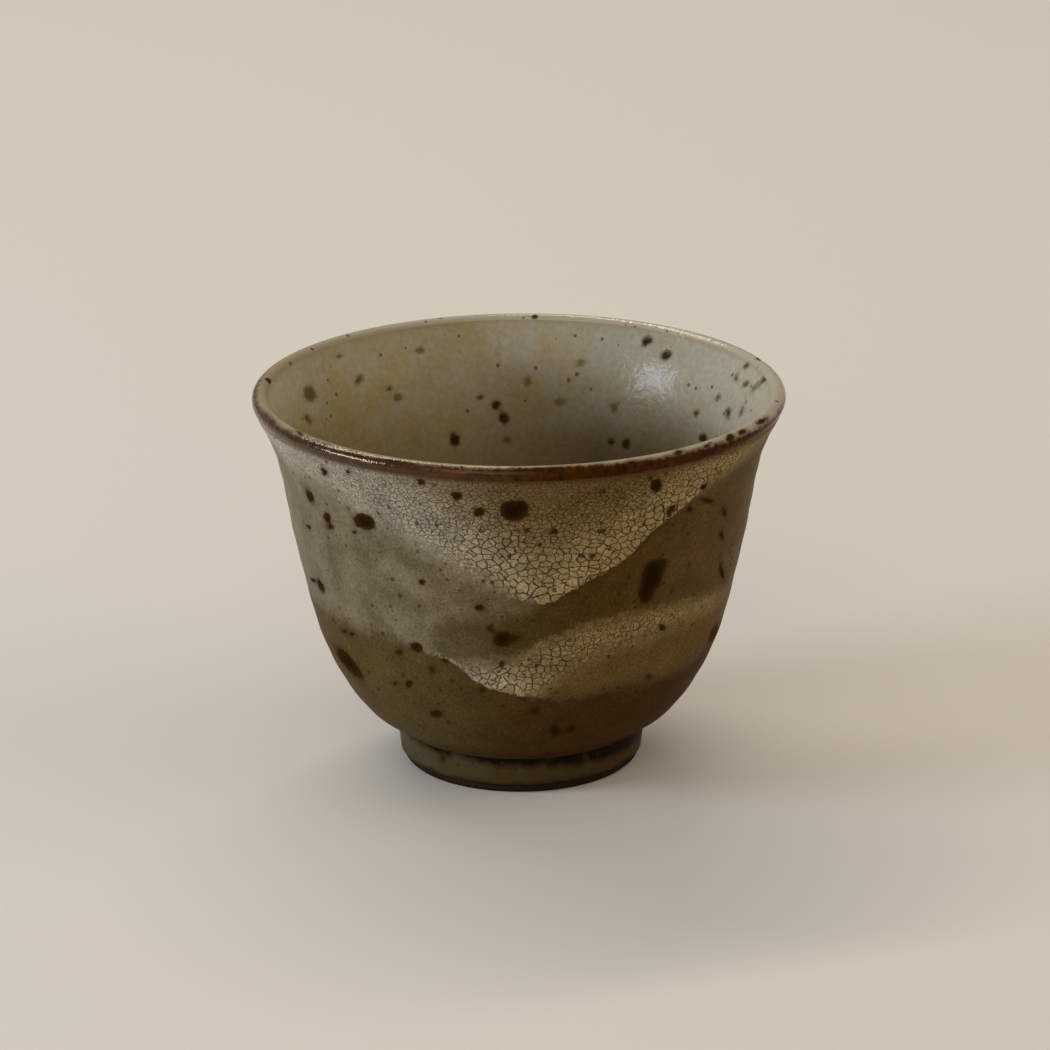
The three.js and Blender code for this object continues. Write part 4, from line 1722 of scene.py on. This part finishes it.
@dataclass(frozen=True)
class Studio:
    """A plain pale floor under soft light: cool from the left, warmer and weaker from the right."""

    floor: str = "#d2cdc4"
    floor_roughness: float = 0.85
    surround: str = "#e2ded6"
    surround_strength: float = 0.45
    floor_half: float = 6.0
    aim: tuple[float, float, float] = (0.0, 0.0, 0.03)
    lamps: tuple[Lamp, ...] = (
        Lamp("window_left", (-1.01, -0.27, 0.36), 0.4, 0.3, 7.0, "#e3edff"),
        Lamp("lamp_behind", (-0.32, 0.85, 1.15), 1.5, 0.14, 8.5, "#fff8ee"),
        Lamp("lamp_right", (0.95, -0.12, 0.62), 0.9, 0.6, 3.0, "#ffe8ca"),
        Lamp("fill_front", (-0.3, -1.3, 1.0), 1.2, 1.2, 6.0, "#fff6ea"),
    )

    def build(self) -> None:
        """Lays the floor, hangs the lamps and sets the light all round."""
        for lamp in self.lamps:
            lamp.add(Vector(self.aim))
        half = self.floor_half
        mesh = bpy.data.meshes.new("floor")
        corners = [(-half, -half, 0), (half, -half, 0), (half, half, 0), (-half, half, 0)]
        mesh.from_pydata(corners, [], [(0, 1, 2, 3)])
        plain = bpy.data.materials.new("painted_studio_floor")
        plain.use_nodes = True
        shader = plain.node_tree.nodes["Principled BSDF"]
        shader.inputs["Base Color"].default_value = linear(self.floor)
        shader.inputs["Roughness"].default_value = self.floor_roughness
        mesh.materials.append(plain)
        floor = bpy.data.objects.new("floor", mesh)
        bpy.context.scene.collection.objects.link(floor)
        world = bpy.data.worlds.new("studio_surround")
        world.use_nodes = True
        background = world.node_tree.nodes["Background"]
        background.inputs["Color"].default_value = linear(self.surround)
        background.inputs["Strength"].default_value = self.surround_strength
        bpy.context.scene.world = world


def main() -> None:
    """Builds the cup's pieces in the order they are made, then the studio round them."""
    logging.basicConfig(level=logging.INFO, format="%(name)s: %(message)s")
    form, view = CupForm(), PhotoView()
    bowl = ThrownBowl(form, view, "thrown_bowl", "bowl_clay", ("bowl_wall", "bowl_floor"), columns=240)
    ring = FootRing(form, view, "turned_foot_ring", "foot_clay", ("foot_ring",), columns=360)
    pours = ("upper_front_pour", "lower_front_pour", "upper_back_pour", "lower_back_pour")
    hidden = (95, 265)
    up_the_wall = (4, form.band_start - 2)
    deep = (form.lip_end + 3, form.middle - 4)
    over_lip = (form.band_start, form.lip_end)
    outer = OuterCoat(
        form, view, "outer_glaze_coat", "outer_ash_glaze", ("outer_glaze", *pours),
        outline=form.skin, start=0.0, end=form.band_start, rows=150,
        seen_spots=WALL_SPOTS,
        other_spots=SpotScatter(count=70, angles=hidden, stretch=up_the_wall).draw(SEED),
        sweeps=(GlazeSweeps(0.0), GlazeSweeps(180.0)),
    )
    liner = PlainCoat(
        form, view, "liner_glaze_coat", "inner_ash_glaze", ("inner_glaze",), columns=432,
        outline=form.skin, start=form.lip_end, end=form.middle, rows=110, back_rows=24, closed=False,
        seen_spots=LINER_SPOTS,
        other_spots=SpotScatter(count=60, angles=(-80, 80), stretch=deep).draw(SEED + 1),
    )
    lip = PlainCoat(
        form, view, "lip_glaze_band", "iron_lip_glaze", ("lip_band",),
        outline=form.skin, start=form.band_start, end=form.lip_end, rows=22, back_rows=10, toward=-42.0,
        seen_spots=LIP_SPOTS,
        other_spots=SpotScatter(count=14, angles=hidden, stretch=over_lip).draw(SEED + 2),
    )
    foot = PlainCoat(
        form, view, "foot_glaze_coat", "foot_ash_glaze", ("foot_glaze",), columns=360,
        outline=form.foot_side, start=form.foot_bare, end=form.foot_side.length, rows=24, back_rows=4,
        seen_spots=FOOT_SPOTS,
    )
    clay = BareClay()
    made = [
        bowl.build(clay), ring.build(clay), outer.build(CrackleAshGlaze()),
        liner.build(LinerGlaze()), lip.build(LipGlaze()), foot.build(FootGlaze()),
    ]
    for piece in made:
        stands_for = list(piece["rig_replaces"])
        LOG.info("%s: %d points, stands for %s", piece.name, len(piece.data.vertices), stands_for)
    Studio().build()
    view.add_camera()
    bpy.context.scene.view_settings.view_transform = "Standard"


if __name__ == "__main__":
    main()
